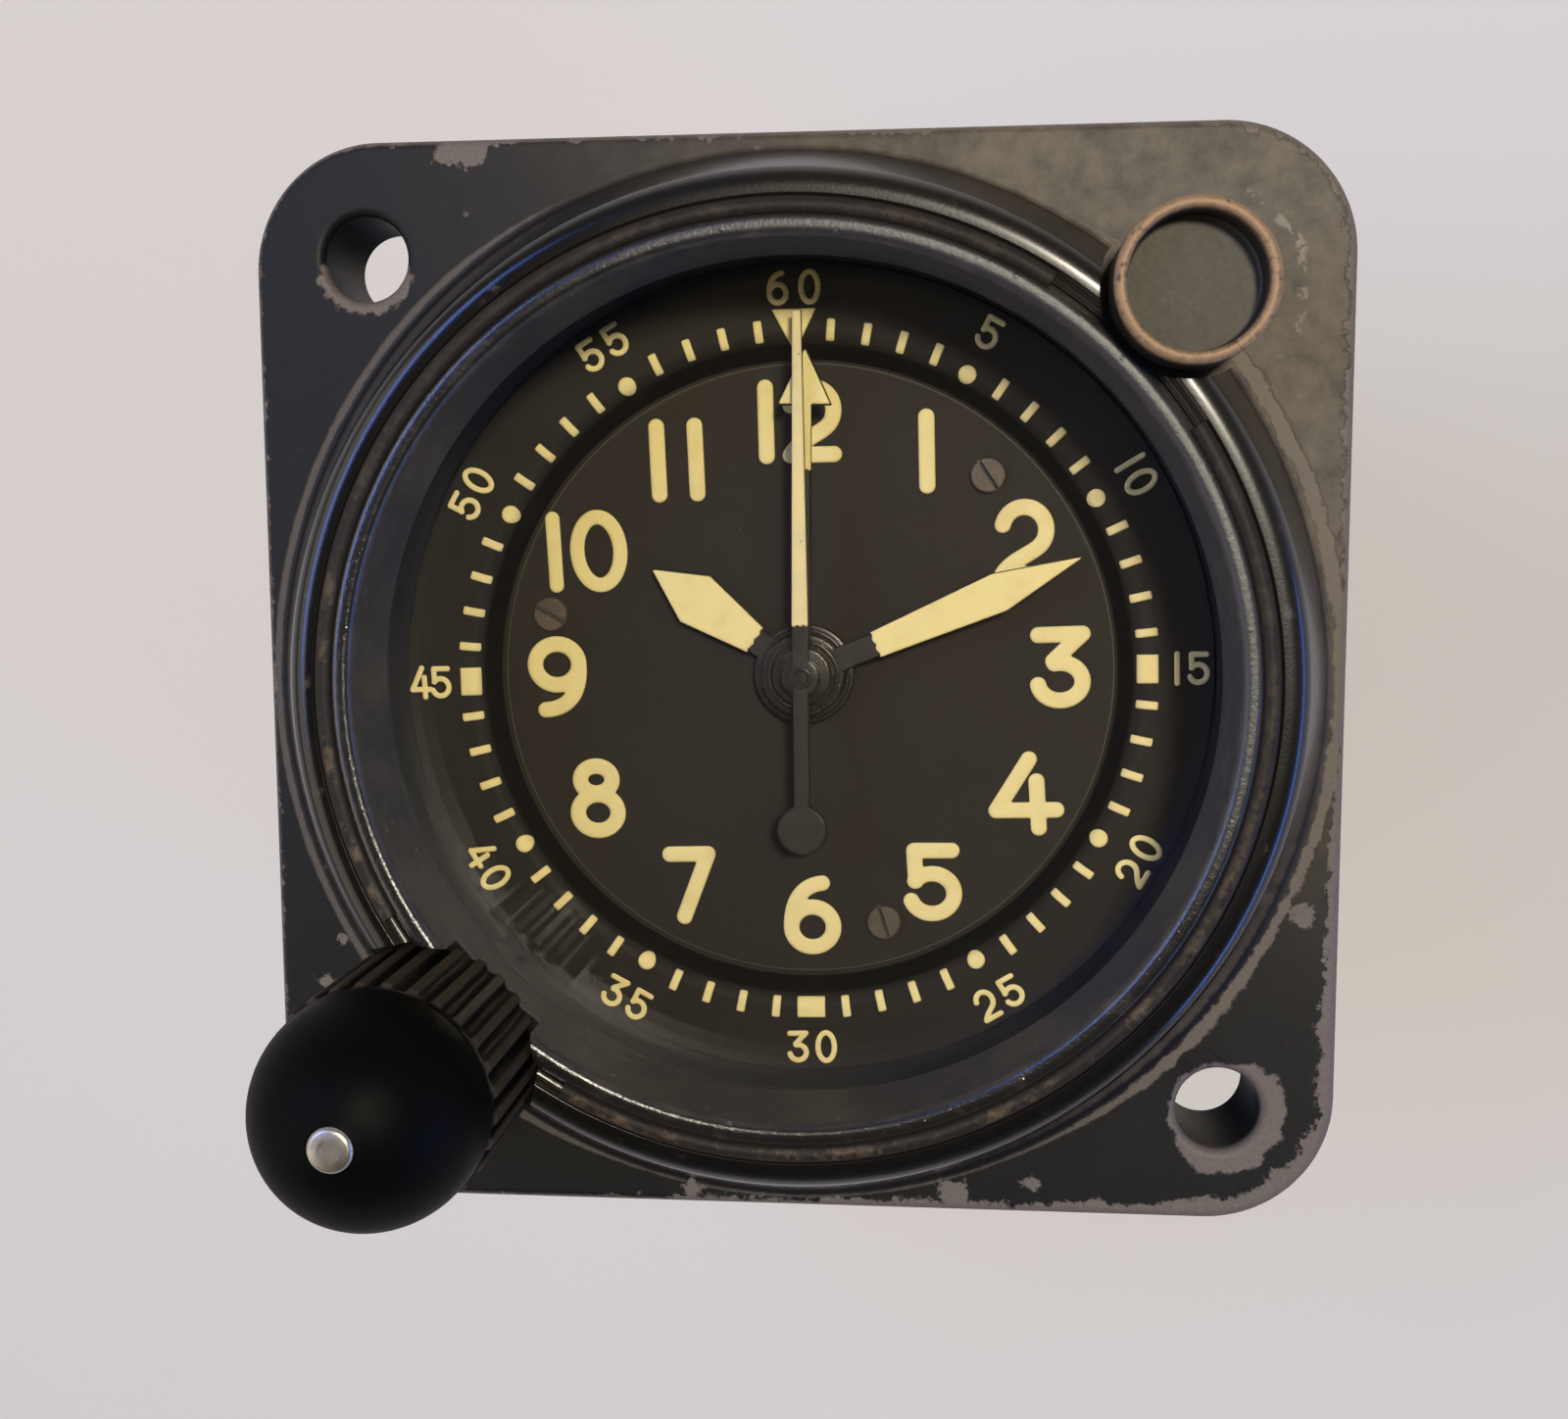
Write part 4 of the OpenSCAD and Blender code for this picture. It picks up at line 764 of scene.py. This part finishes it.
def make_bezel():
    low = GLASS_Z + 0.02
    outer = SEAT_R - 0.05
    profile = [(WELL_R, low, 0.12), (WELL_R, BEAD_TOP, 0.55), (WELL_R + 1.2, BEAD_TOP, 0.5),
               (WELL_R + 1.3, BEAD_TOP - 0.75, 0.1), (outer, BEAD_TOP - 1.0, 0.1), (outer, low, 0.1)]
    ring = raw("glass_ring_bead", *lathe(profile, steps=7))
    cut(ring, *rod(KNOB_R + KNOB_GAP, SCALLOP_Z, ABOVE_Z, STEM_AT, 96))
    dress(ring, "case", "ring", ("glass_ring",), 34.0)

    # The wire stops on both sides of the knob and of the button
    knob = degrees(asin((KNOB_R + KNOB_GAP) / STEM_D)) + 2
    button = degrees(asin((BUTTON_R + BUTTON_GAP) / STEM_D)) + 3
    wire_r = 0.5
    wires = []
    for start, end in ((225 - 360 + knob, 45 - button), (45 + button, 225 - knob)):
        path = [(radians(a), COLLAR_TOP) for a in np.linspace(start, end, 120)]
        wires.append(coil(SEAT_R, wire_r, path, 14))
    build("snap_ring_wire", *joined(wires), "case", "dirty_wire", "wire", ("snap_ring",))

    pane = [(0, GASKET_Z, 0), (outer, GASKET_Z, 0.1), (outer, GLASS_Z, 0.3), (0, GLASS_Z, 0)]
    build("glass_pane", *turned(pane, count=256), "case", "glass", "glass", ("crystal",))
    top = GASKET_Z - 0.02
    seal = [(r, z, 0.08) for r, z in ((BORE_R, LIP_Z), (BORE_R, top), (outer, top), (outer, LIP_Z))]
    build("glass_gasket", *lathe(seal, count=128), "case", "gasket", "gasket", ("crystal_gasket",))


make_bezel()


# Minute ring and dial

RING_PROFILE = rounded([(RING_R, DIAL_Z + 0.02, 0.1), (RING_R, RING_Z, 0.1), (RING_IN_R, RING_Z, 0.95),
                        (BEVEL_R, DIAL_Z + 0.02, 0.0)], steps=9)
RING_R_STEPS = [p[0] for p in RING_PROFILE[6:]][::-1]
RING_Z_STEPS = [p[1] for p in RING_PROFILE[6:]][::-1]


def ring_height(x, y):
    """Height of the minute ring's face, its rounded inner edge included."""
    return float(np.interp(hypot(x, y), RING_R_STEPS, RING_Z_STEPS))


def make_dial():
    build("minute_ring", *loft([circle(r, z) for r, z in RING_PROFILE], closed=True),
          "case", "dial_black", "chapter", ("chapter_ring",), 40.0)
    hole = 2.8
    low = DIAL_Z - 0.3
    profile = [(hole, DIAL_UNDER, 0.05), (hole, DIAL_Z, 0.08), (DIAL_STEP_R, DIAL_Z, 0.10),
               (DIAL_STEP_R + 0.08, low, 0.05), (DIAL_R, low, 0.05), (DIAL_R, DIAL_UNDER, 0.05)]
    build("dial_plate", *lathe(profile), "case", "dial_black", "dial", ("dial",), 40.0)


make_dial()


def make_dial_screws():
    """Three slotted heads on the dial; a near-black sheet at the floor of each slot is painted shade."""
    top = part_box("dial_screws")[1][2] / MM
    head_r = 1.05
    circle_r = 16.15
    wide = 0.12
    low = top - 0.34
    heads = []
    slot_shades = []
    for i, slot in enumerate((123.0, 108.0, 149.0)):
        a = radians(47.2 - 120 * i)
        at = (circle_r * cos(a), circle_r * sin(a))
        c = cos(radians(slot))
        s = sin(radians(slot))

        def bar(x, y, z0, z1, at=at, c=c, s=s):
            return capped([[(at[0] + u * c - v * s, at[1] + u * s + v * c, z) for u, v in rect(x, y)]
                           for z in (z0, z1)])

        profile = [(0, DIAL_Z, 0), (head_r, DIAL_Z, 0), (head_r, top, 0.14), (0, top, 0)]
        head = raw("screw_head", *turned(profile, at, 48))
        cut(head, *bar(2, wide, low, top + 1))
        heads.append(([tuple(v.co / MM) for v in head.data.vertices],
                      [tuple(f.vertices) for f in head.data.polygons]))
        bpy.data.objects.remove(head)
        # Painted shade: a near-black sheet lies on the floor of each slot
        slot_shades.append(bar(0.98, wide - 0.005, low - 0.02, low + 0.03))
    build("dial_screw_heads", *joined(heads), "case", "dark_steel", "screw", ("dial_screws",), 35.0)
    build("dial_screw_slot_shades", *joined(slot_shades), "case", "dark_steel", "slot", smooth=0.0)


make_dial_screws()


# Raised paint from signed distances

def seg_dist(px, py, a, b):
    """Distances from points to the segment from a to b."""
    ax, ay = a
    bx, by = b
    dx = bx - ax
    dy = by - ay
    size = dx * dx + dy * dy
    t = np.clip(((px - ax) * dx + (py - ay) * dy) / max(size, 1e-12), 0, 1)
    return np.hypot(px - ax - t * dx, py - ay - t * dy)


def around(points, pad):
    """Box round points, widened on all sides."""
    xs, ys = zip(*points)
    return min(xs) - pad, min(ys) - pad, max(xs) + pad, max(ys) + pad


def strokes(lines, width):
    """Distance field of round-ended strokes along polylines."""
    def field(px, py):
        best = np.full(px.shape, 1e9)
        for line in lines:
            for a, b in zip(line, line[1:]):
                best = np.minimum(best, seg_dist(px, py, a, b))
        return best - width / 2
    return field, around([p for line in lines for p in line], width / 2 + 0.1)


def polygon(points, round_r=0.0):
    """Distance field of a polygon with its corners rounded a little."""
    count = len(points)

    def field(px, py):
        best = np.full(px.shape, 1e9)
        inside = np.zeros(px.shape, bool)
        for i in range(count):
            ax, ay = points[i]
            bx, by = points[(i + 1) % count]
            best = np.minimum(best, seg_dist(px, py, (ax, ay), (bx, by)))
            cross = (ay > py) != (by > py)
            slope = (bx - ax) / (by - ay) if by != ay else 0.0
            inside ^= cross & (px < ax + (py - ay) * slope)
        return np.where(inside, -best, best) - round_r
    return field, around(points, 0.2)


class Relief:
    """Collects raised patches of paint into one closed mesh."""

    def __init__(self):
        self.verts = []
        self.faces = []

    def add(self, shape, grid, height, shoulder, turn=0.0, at=(0.0, 0.0), base=0.0, ground=None):
        """Adds a patch; turn is clockwise degrees about the origin of the shape, then it moves to at."""
        field, (x0, y0, x1, y1) = shape
        nx = int(ceil((x1 - x0) / grid)) + 1
        ny = int(ceil((y1 - y0) / grid)) + 1
        xs = x0 + grid * np.arange(nx)
        ys = y0 + grid * np.arange(ny)
        gx, gy = np.meshgrid(xs, ys, indexing="ij")
        depth = -field(gx, gy)
        depth[np.abs(depth) < 1e-5] = -1e-5
        ids = {}
        flat = []
        heights = []

        def put(key, x, y, d):
            if key not in ids:
                ids[key] = len(flat)
                flat.append((x, y))
                share = min(max(d, 0.0) / shoulder, 1.0)
                heights.append(height * sqrt(max(0.0, 1 - (1 - share) ** 2)))
            return ids[key]

        polys = []
        for i, j in np.ndindex(nx - 1, ny - 1):
            corners = ((i, j), (i + 1, j), (i + 1, j + 1), (i, j + 1))
            if max(depth[c] for c in corners) < 0:
                continue
            poly = []
            for a, b in zip(corners, corners[1:] + corners[:1]):
                da = depth[a]
                db = depth[b]
                if da > 0:
                    poly.append(put(a, xs[a[0]], ys[a[1]], da))
                if (da > 0) != (db > 0):
                    t = da / (da - db)
                    x = xs[a[0]] + t * (xs[b[0]] - xs[a[0]])
                    y = ys[a[1]] + t * (ys[b[1]] - ys[a[1]])
                    poly.append(put((min(a, b), max(a, b)), x, y, 0.0))
            if len(poly) >= 3:
                polys.append(poly)
        c = cos(radians(-turn))
        s = sin(radians(-turn))
        start = len(self.verts)
        count = len(flat)
        sunk = 0.03
        lower = []
        for (x, y), h in zip(flat, heights):
            wx = at[0] + x * c - y * s
            wy = at[1] + x * s + y * c
            z = base if ground is None else ground(wx, wy)
            self.verts.append((wx, wy, z + h))
            lower.append((wx, wy, z - sunk))
        self.verts += lower
        edges = {}
        for poly in polys:
            self.faces.append(tuple(start + v for v in poly))
            self.faces.append(tuple(start + count + v for v in reversed(poly)))
            for a, b in zip(poly, poly[1:] + poly[:1]):
                edges[(a, b)] = True
        for a, b in edges:
            if (b, a) not in edges:
                self.faces.append((start + b, start + a, start + count + a, start + count + b))

    def piece(self, name, body, slot, mat):
        return build(name, self.verts, self.faces, body, slot, mat, smooth=55.0)


def arc(cx, cy, rx, ry, start, end, count=20):
    """Points of an ellipse arc, angles in degrees anticlockwise from +X."""
    angles = np.linspace(radians(start), radians(end), count)
    return [(cx + rx * cos(a), cy + ry * sin(a)) for a in angles]


def bezier(a, b, c, d, count=14):
    """Points of a cubic curve."""
    out = []
    for t in np.linspace(0, 1, count):
        u = 1 - t
        shares = (u ** 3, 3 * u * u * t, 3 * u * t * t, t ** 3)
        out.append(tuple(sum(s * p[i] for s, p in zip(shares, (a, b, c, d))) for i in (0, 1)))
    return out


def digits():
    """Centre lines of the rounded digits of the hour numerals, each about its middle."""
    top = arc(0, 0.62, 1.31, 1.36, 166, -35, 26)
    tail = bezier(top[-1], (0.66, -0.80), (-0.72, -1.05), (-1.34, -2.03))
    return {
        "0": [arc(0, 0, 1.34, 2.08, 0, 360, 44)],
        "1": [[(0, -2.04), (0, 2.04)]],
        "2": [top + tail[1:] + [(1.28, -2.04)]],
        "3": [[(-1.31, 1.98), (1.33, 2.02), (-0.42, 0.40)] + arc(-0.02, -0.86, 1.34, 1.14, 104, -171, 28)],
        "4": [[(0.20, 2.10), (-1.80, -1.03), (1.82, -1.03)], [(0.64, 0.74), (0.76, -2.12)]],
        "5": [[(1.14, 1.94), (-1.16, 1.96), (-1.08, 0.06)] + arc(-0.10, -0.74, 1.36, 1.25, 140, -160, 28)],
        "6": [arc(0.02, -0.77, 1.31, 1.26, 0, 360, 34),
              bezier((-1.29, -0.77), (-1.29, 0.62), (-0.75, 1.86), (0.68, 1.99))],
        "7": [[(-1.18, 1.95), (1.20, 1.96), (-0.38, -2.0)]],
        "8": [arc(-0.02, 1.19, 1.0, 0.85, 0, 360, 32), arc(0.03, -0.89, 1.26, 1.13, 0, 360, 34)],
        "9": [arc(0.04, 0.77, 1.37, 1.27, 0, 360, 34),
              bezier((1.41, 0.77), (1.50, -0.90), (0.75, -2.0), (-0.77, -2.04))],
    }


DIGITS = digits()


def number(text, places, wide=1.0, tall=1.0, lean=0.0):
    """Lines of a number, its digits at the given places along x."""
    lines = []
    for char, dx in zip(text, places):
        own = wide * 0.82 if char == "4" and wide < 1 else wide
        lines += [[(x * own + dx - y * lean, y * tall) for x, y in line] for line in DIGITS[char]]
    return lines


def clock_point(r, angle):
    """Point at a clock angle on the dial, which sits turned a little in its case."""
    a = radians(90 - angle + DIAL_TURN)
    return r * cos(a), r * sin(a)


def make_hours():
    """Hour numerals, upright."""
    two = {"10": (-2.00, 0.76), "11": (-1.17, 1.17), "12": (-2.05, 0.74)}
    lean = {"10": 0.03, "11": 0.02}
    radii = (15.2, 15.4, 15.4, 15.3, 15.1, 15.1, 15.2, 15.3, 15.5, 15.4, 15.1, 15.2)
    relief = Relief()
    for hour, r in enumerate(radii, 1):
        text = str(hour)
        stroke = 0.90 if hour == 10 else 0.98
        shape = strokes(number(text, two.get(text, (0.0,)), lean=lean.get(text, 0.0)), stroke)
        relief.add(shape, grid=0.085, height=0.09, shoulder=0.28, turn=-DIAL_TURN,
                   at=clock_point(r, 30 * hour), base=DIAL_Z)
    relief.piece("hour_numerals", "case", "lume_cream", "lume_hours")


def make_minutes():
    """Minute numerals, blocks, dots, ticks and the zero triangle on the ring."""
    stroke = 0.335
    numeral_r = 22.78
    turns = {60: 0, 5: 30, 10: 60, 15: 0, 20: -60, 25: -30, 30: 0, 35: 30, 40: 60, 45: 0, 50: -60, 55: -30}
    pair = {"10": (-0.74, 0.54), "15": (-0.76, 0.50), "40": (-0.78, 0.86), "45": (-0.62, 0.62),
            "60": (-0.92, 0.96)}
    numerals = Relief()
    for minute, turn in turns.items():
        text = str(minute)
        places = pair.get(text, (-0.86, 0.86)) if len(text) == 2 else (0.0,)
        shape = strokes(number(text, places, 0.375, 0.42), stroke)
        numerals.add(shape, grid=0.05, height=0.05, shoulder=0.12, turn=turn - DIAL_TURN,
                     at=clock_point(numeral_r, 6 * minute), base=RING_Z)
    numerals.piece("minute_numerals", "case", "lume_cream", "lume_minutes")

    marks = Relief()
    for minute in range(60):
        angle = 6 * minute
        grid, height, shoulder = 0.06, 0.07, 0.16
        if minute == 0:
            r = 21.5
            shape = polygon([(-1.24, 0.0), (1.24, 0.0), (0.0, -2.42)], 0.04)
        elif minute in (15, 30, 45):
            r = 20.32
            shape = polygon(rect(0.79, 0.56), 0.06)
        elif minute % 5 == 0:
            r = 20.10
            shape = strokes([[(0, 0), (0, 0.001)]], 1.06)
            height, shoulder = 0.08, 0.22
        else:
            r = 20.38
            shape = polygon(rect(0.15, 0.54), 0.10)
            grid = 0.055
        marks.add(shape, grid, height, shoulder, angle - DIAL_TURN, clock_point(r, angle), ground=ring_height)
    marks.piece("minute_marks", "case", "lume_cream", "lume_minutes")


make_hours()
make_minutes()


# Hands

def blade(name, half, node, body, z, angle, boss_r, bore, lume_part, tail=None):
    """A dark steel hand with a raised boss and luminous paint on its blade."""
    turn = angle - DIAL_TURN
    outline = half + [(-x, y) for x, y in reversed(half)]
    metal_part = Relief()
    sheets = [(polygon(outline), 0.96, 0.07)]
    if tail:
        length, width, disc = tail
        sheets.append((strokes([[(0, 0), (0, -length)]], width), 0.90, 0.07))
        sheets.append((strokes([[(0, -length), (0, -length + 0.001)]], 2 * disc), 0.94, 0.10))
    for shape, share, shoulder in sheets:
        metal_part.add(shape, 0.09, HAND_T * share, shoulder, turn, (0, 0), z + 0.03)
    piece = metal_part.piece(name + "_blade", body, "lume_cream", "hand")
    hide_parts(node)
    top = z + HAND_T
    collar = lathe([(bore, z - 0.02, 0.02), (bore, top + 0.05, 0.05), (bore + 0.20, top + 0.05, 0.09),
                    (bore + 0.26, top - 0.05, 0.03), (boss_r, top - 0.05, 0.14), (boss_r, z - 0.02, 0.05)],
                   count=96)
    build(name + "_boss", *collar, body, "lume_cream", "hub")
    # The painter's edge across the foot of the blade is not quite straight
    wide, foot = lume_part[0]
    ragged = [(wide * (1 - k / 4), foot + 0.07 * sin(2.1 * k + 7 * wide)) for k in range(1, 8)]
    side = [(-x, y) for x, y in reversed(lume_part)]
    paint = Relief()
    paint.add(polygon(lume_part + side + ragged[::-1]), 0.075, 0.07, 0.16, turn, (0, 0), top - 0.01)
    paint.piece(name + "_lume", body, "lume_cream", "lume_sweep" if tail else "lume_hands")


def make_hands():
    hour = 11.2
    base = hour - 7.65
    blade("hour_hand", [(0.8, 1.0), (0.8, base), (0.92, base), (1.70, hour - 3.2), (0.08, hour)], "hour_hand",
          "hour_works", Z_HOUR, HOUR_ANGLE, 3.05, 2.52,
          [(0.88, base + 0.06), (1.65, hour - 3.18), (0.05, hour - 0.10)])
    minute = 17.9
    base = 4.6
    blade("minute_hand", [(0.74, 1.0), (0.74, base), (0.84, base), (1.22, minute - 5.3), (0.06, minute)],
          "minute_hand", "minute_works", Z_MINUTE, MINUTE_ANGLE, 2.5, 1.92,
          [(0.80, base + 0.08), (1.17, minute - 5.28), (0.04, minute - 0.12)])
    elapsed = 19.2
    barb = elapsed - 3.3
    blade("elapsed_hand", [(0.5, 0.5), (0.42, barb), (1.62, barb), (0.1, elapsed)], "elapsed_minute_hand",
          "elapsed_works", Z_ELAPSED, ELAPSED_ANGLE, 1.75, 0.82,
          [(0.42, 12.15), (0.39, barb + 0.06), (1.52, barb + 0.07), (0.06, elapsed - 0.14)])
    sweep = 21.3
    blade("seconds_hand", [(0.52, 0.5), (0.28, sweep)], "sweep_seconds_hand", "seconds_works", Z_SWEEP,
          SWEEP_ANGLE, 1.15, 0.42, [(0.48, 3.05), (0.25, sweep - 0.06)], tail=(9.1, 1.0, 1.5))
    top = Z_SWEEP + HAND_T
    pin = turned([(0, Z_SWEEP, 0), (0.42, Z_SWEEP, 0), (0.42, top + 0.08, 0.1), (0.30, top + 0.16, 0.08),
                  (0, top + 0.18, 0)], count=48)
    build("seconds_pin", *pin, "seconds_works", "steel", "hub")


make_hands()


# Winding knob

def make_knob():
    """Fluted skirt and dome as one loft, with a pin in its top."""
    flutes = 28
    per = 12
    count = flutes * per
    depth = 0.34
    cx, cy = STEM_AT

    def ring(r, z, cutting=0):
        out = []
        for i in range(count):
            a = 2 * pi * i / count
            phase = (i % per) / per
            across = min(phase, 1 - phase) * 2
            dip = sqrt(max(0.0, 1 - (across / 0.62) ** 2))
            here = r - depth * dip * cutting
            out.append((cx + here * cos(a), cy + here * sin(a), z))
        return out

    foot = FRONT + 1.9
    cap_r = KNOB_R - 0.2
    cap = FRONT + 17.8 - cap_r
    pin_r = 1.22
    pin_low = FRONT + 14.8
    stem_r = 1.55
    hollow_r = 3.8
    roof = foot + 1.5
    rings = [ring(stem_r, SKIRT_Z), ring(stem_r, roof), ring(hollow_r, roof), ring(hollow_r, foot)]
    for k, (c, s) in enumerate(quarter(4)):
        rings.append(ring(KNOB_R - 0.3 + 0.3 * s, foot + 0.3 - 0.3 * c, 0.6 + 0.1 * k))
    for z in np.linspace(foot + 0.6, SKIRT_Z - 0.5, 8):
        rings.append(ring(KNOB_R, z, 1.0))
    for k, (c, s) in enumerate(quarter(5)):
        rings.append(ring(KNOB_R - 0.35 + 0.35 * c, SKIRT_Z - 0.35 + 0.35 * s, 1.0 - 0.2 * k))
    rings += [ring(cap_r + 0.02, SKIRT_Z), ring(cap_r, SKIRT_Z + 0.03)]
    rings += [ring(cap_r * c, cap + cap_r * s) for c, s in quarter(30) if cap_r * c >= pin_r + 0.05]
    top = cap + sqrt(cap_r ** 2 - pin_r ** 2)
    rings += [ring(pin_r + 0.03, top), ring(pin_r, top - 0.06), ring(pin_r, pin_low)]
    knob = raw("winding_knob_body", *capped(rings))
    dress(knob, "stem_body", "knob", ("winding_knob",), 50.0)
    crown = FRONT + 17.9
    pin = turned([(0, pin_low + 0.05, 0), (1.2, pin_low + 0.05, 0), (1.2, crown - 0.05, 0.32),
                  (0.6, crown, 0.5), (0, crown, 0)], STEM_AT, 64)
    build("knob_pin_domed", *pin, "stem_body", "steel", "pin", ("knob_pin",), 50.0)


make_knob()


# Pusher button and its spring

def make_pusher():
    low = FRONT + 2.6
    profile = [(0, low, 0), (BUTTON_R, low, 0.25), (BUTTON_R, BUTTON_TOP, 0.34), (CUP_R, BUTTON_TOP, 0.26),
               (CUP_R, CUP_FLOOR, 0.22), (0, CUP_FLOOR, 0)]
    build("pusher_button_cup", *turned(profile, PUSHER_AT, 128, 6), "pusher_body", "button_brass", "button",
          ("pusher_button",), 40.0)

    wire = 0.25
    turns = 5
    steps = 24
    count = turns * steps
    z0 = SPRING_LOW + wire + 0.02
    z1 = SPRING_TOP - wire - 0.02
    path = [(2 * pi * i / steps, z0 + (z1 - z0) * i / count) for i in range(count + 1)]
    coil_r = 1.85
    shape = coil(coil_r, wire, path, 10, PUSHER_AT)
    spring = build("pusher_spring_coil", *shape, "pusher_body", "steel", "steel", ("pusher_spring",))
    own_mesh(spring)


make_pusher()


# Rear can and cover

def can_point(angle, inset):
    """Point of the can's outline: a disc with a lobe for the stem and one for the pusher."""
    reach = CAN_R - inset
    lobe = LOBE_R - inset
    for axis in (radians(225), radians(45)):
        off = (angle - axis + pi) % (2 * pi) - pi
        if abs(off) > 0.7:
            continue
        side = lobe / max(abs(sin(off)), 1e-9)
        if side * cos(off) > STEM_D:
            side = STEM_D * cos(off) + sqrt(max(lobe ** 2 - (STEM_D * sin(off)) ** 2, 0.0))
        blend = 0.5
        gap = max(-1.0, min(1.0, (side - reach) / blend))
        soft = blend * (1 - abs(gap)) ** 2 / 4
        reach = max(side, reach) + soft
    return reach * cos(angle), reach * sin(angle)


def can_ring(inset, z, count=540):
    return [(*can_point(2 * pi * i / count, inset), z) for i in range(count)]


def make_case():
    top = -0.05
    low = COVER_Z + 0.02
    rings = [can_ring(0.0, top), can_ring(0.0, -4.0), can_ring(0.0, low + 0.48), can_ring(0.05, low + 0.10),
             can_ring(0.15, low), can_ring(CAN_WALL, low), can_ring(CAN_WALL, top)]
    can = raw("case_can_shell", *loft(rings, closed=True))
    dress(can, "case", "case", ("case_can",), 35.0)
    rings = [can_ring(0.16, COVER_Z - 0.02), can_ring(0.04, COVER_Z - 0.1), can_ring(0.0, COVER_Z - 0.25)]
    round_r = 0.6
    rings += [can_ring(round_r - round_r * c, BACK_Z + round_r - round_r * s) for c, s in quarter(6)]
    cover = raw("rear_cover_plate", *capped(rings))
    screw_circle_r = 23
    for i in range(3):
        a = radians(15 + 120 * i)
        at = (screw_circle_r * cos(a), screw_circle_r * sin(a))
        for r, depth in ((1.6, 0.9), (0.9, 3)):
            cut(cover, *rod(r, BACK_Z - 1, BACK_Z + depth, at, 48))
    dress(cover, "case", "case", ("rear_cover",), 35.0)


make_case()
bevelled("rear_cover_screws", 0.12, "steel", "case")
bevelled("stem_bush", 0.10, "brass", "case")


# Nodes that keep their solids: the movement and the shafts

KEPT = {
    "brass": """rear_posts dial_posts minute_wheel barrel_drum barrel_cover front_plate back_plate
        plate_pillars intermediate_wheel centre_wheel third_wheel fourth_wheel escape_wheel balance_wheel
        balance_cock elapsed_wheel recorder_wheel chrono_bridge pusher_bush""",
    "steel": """winding_stem setting_yoke setting_wheel crown_wheel ratchet_wheel click barrel_arbor
        plate_screws movement_screws wheel_studs pallet_lever reset_lever pusher_stem""",
    "hub": "cannon_pinion hour_wheel sweep_arbor",
    "blued": "mainspring hairspring",
}
for key, names in KEPT.items():
    for node_name in names.split():
        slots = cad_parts[node_name].data.materials
        slots.clear()
        slots.append(MAT[key])


# Camera, floor and light

def make_camera():
    data = bpy.data.cameras.new("camera")
    data.sensor_fit = "HORIZONTAL"
    data.sensor_width = 36.0
    data.lens = 39.09
    data.clip_start = 0.005
    data.clip_end = 20.0
    camera = add_object("camera", data)
    camera.location = Vector((8.3406, 8.5338, 101.1488)) * MM
    camera.rotation_euler = [radians(a) for a in (-5.97516, 5.32321, -0.30545)]
    bpy.context.scene.camera = camera


def shown(tree):
    """1 for rays that show the background: camera, glossy and transmission rays."""
    path = add_node(tree, "LightPath").outputs
    ray = Val(tree, path["Is Camera Ray"])
    for kind in ("Is Glossy Ray", "Is Transmission Ray"):
        ray = ray.high(Val(tree, path[kind]))
    return ray


def make_floor():
    """Pale floor; beyond the lamps' reach it glows faintly, so that it stays pale up to the horizon."""
    p = Paint("pale_floor")
    cloud = p.noise(0.01, 3.0, 0.5, 200.0)
    lit = p.shader(p.mix(cloud, (0.62, 0.60, 0.56), (0.66, 0.64, 0.60)), 0.75)
    far = p.radius().ramp(90.0, 700.0) * shown(p.tree) * 0.86
    glow = p.add("Emission", {"Color": HORIZON, "Strength": far})
    mat = p.output(p.add("AddShader", {0: lit.outputs[0], 1: glow.outputs[0]}))
    count = 96
    verts, faces = loft([circle(r, BACK_Z - 0.02, count=count) for r in (3000.0, 300.0, 60.0, 5.0)])
    faces.append(tuple(range(3 * count, 4 * count)))
    floor = raw("floor", verts, faces)
    floor.data.materials.append(mat)


def lamp(name, at, size, power, colour):
    """A rectangular lamp that looks at the middle of the clock."""
    data = bpy.data.lights.new(name, "AREA")
    data.shape = "RECTANGLE"
    data.size, data.size_y = size
    data.energy = power
    data.color = colour
    obj = add_object(name, data)
    obj.location = at
    obj.rotation_euler = (-Vector(at)).to_track_quat("-Z", "Y").to_euler()


def make_light():
    """A warm key, the light of the room, and two blue fills whose streaks show on the bezel."""
    lamp("key", (0.15, 0.16, 0.675), (0.09, 0.09), 4.3, (1.0, 0.91, 0.74))
    lamp("bounce", (-0.56, -0.02, 0.45), (0.90, 0.50), 1.9, (1.0, 0.88, 0.70))
    lamp("fill_left", (-0.40, 0.16, 0.50), (0.46, 0.15), 1.5, (0.10, 0.27, 1.0))
    lamp("fill_right", (0.45, -0.16, 0.16), (0.50, 0.08), 1.0, (0.12, 0.30, 1.0))
    world = bpy.data.worlds.new("soft_studio")
    world.use_nodes = True
    tree = world.node_tree
    place = add_node(tree, "TexCoord").outputs["Generated"]
    rise = Val(tree, add_node(tree, "SeparateXYZ", {0: place}).outputs["Z"])
    sky = {"Factor": rise.ramp(0.15, 0.85), 6: (0.34, 0.33, 0.32), 7: (0.10, 0.086, 0.060)}
    back = tree.nodes["Background"]
    back.inputs["Strength"].default_value = 0.64
    tree.links.new(add_node(tree, "Mix", sky, data_type="RGBA").outputs[2], back.inputs["Color"])
    pale = add_node(tree, "Background", {"Color": HORIZON})
    low = rise.ramp(0.22, 0.10) * shown(tree)
    choose = add_node(tree, "MixShader", {"Fac": low, 1: back.outputs[0], 2: pale.outputs[0]})
    tree.links.new(choose.outputs[0], tree.nodes["World Output"].inputs["Surface"])
    bpy.context.scene.world = world
    bpy.context.scene.view_settings.view_transform = "Standard"


make_camera()
make_floor()
make_light()
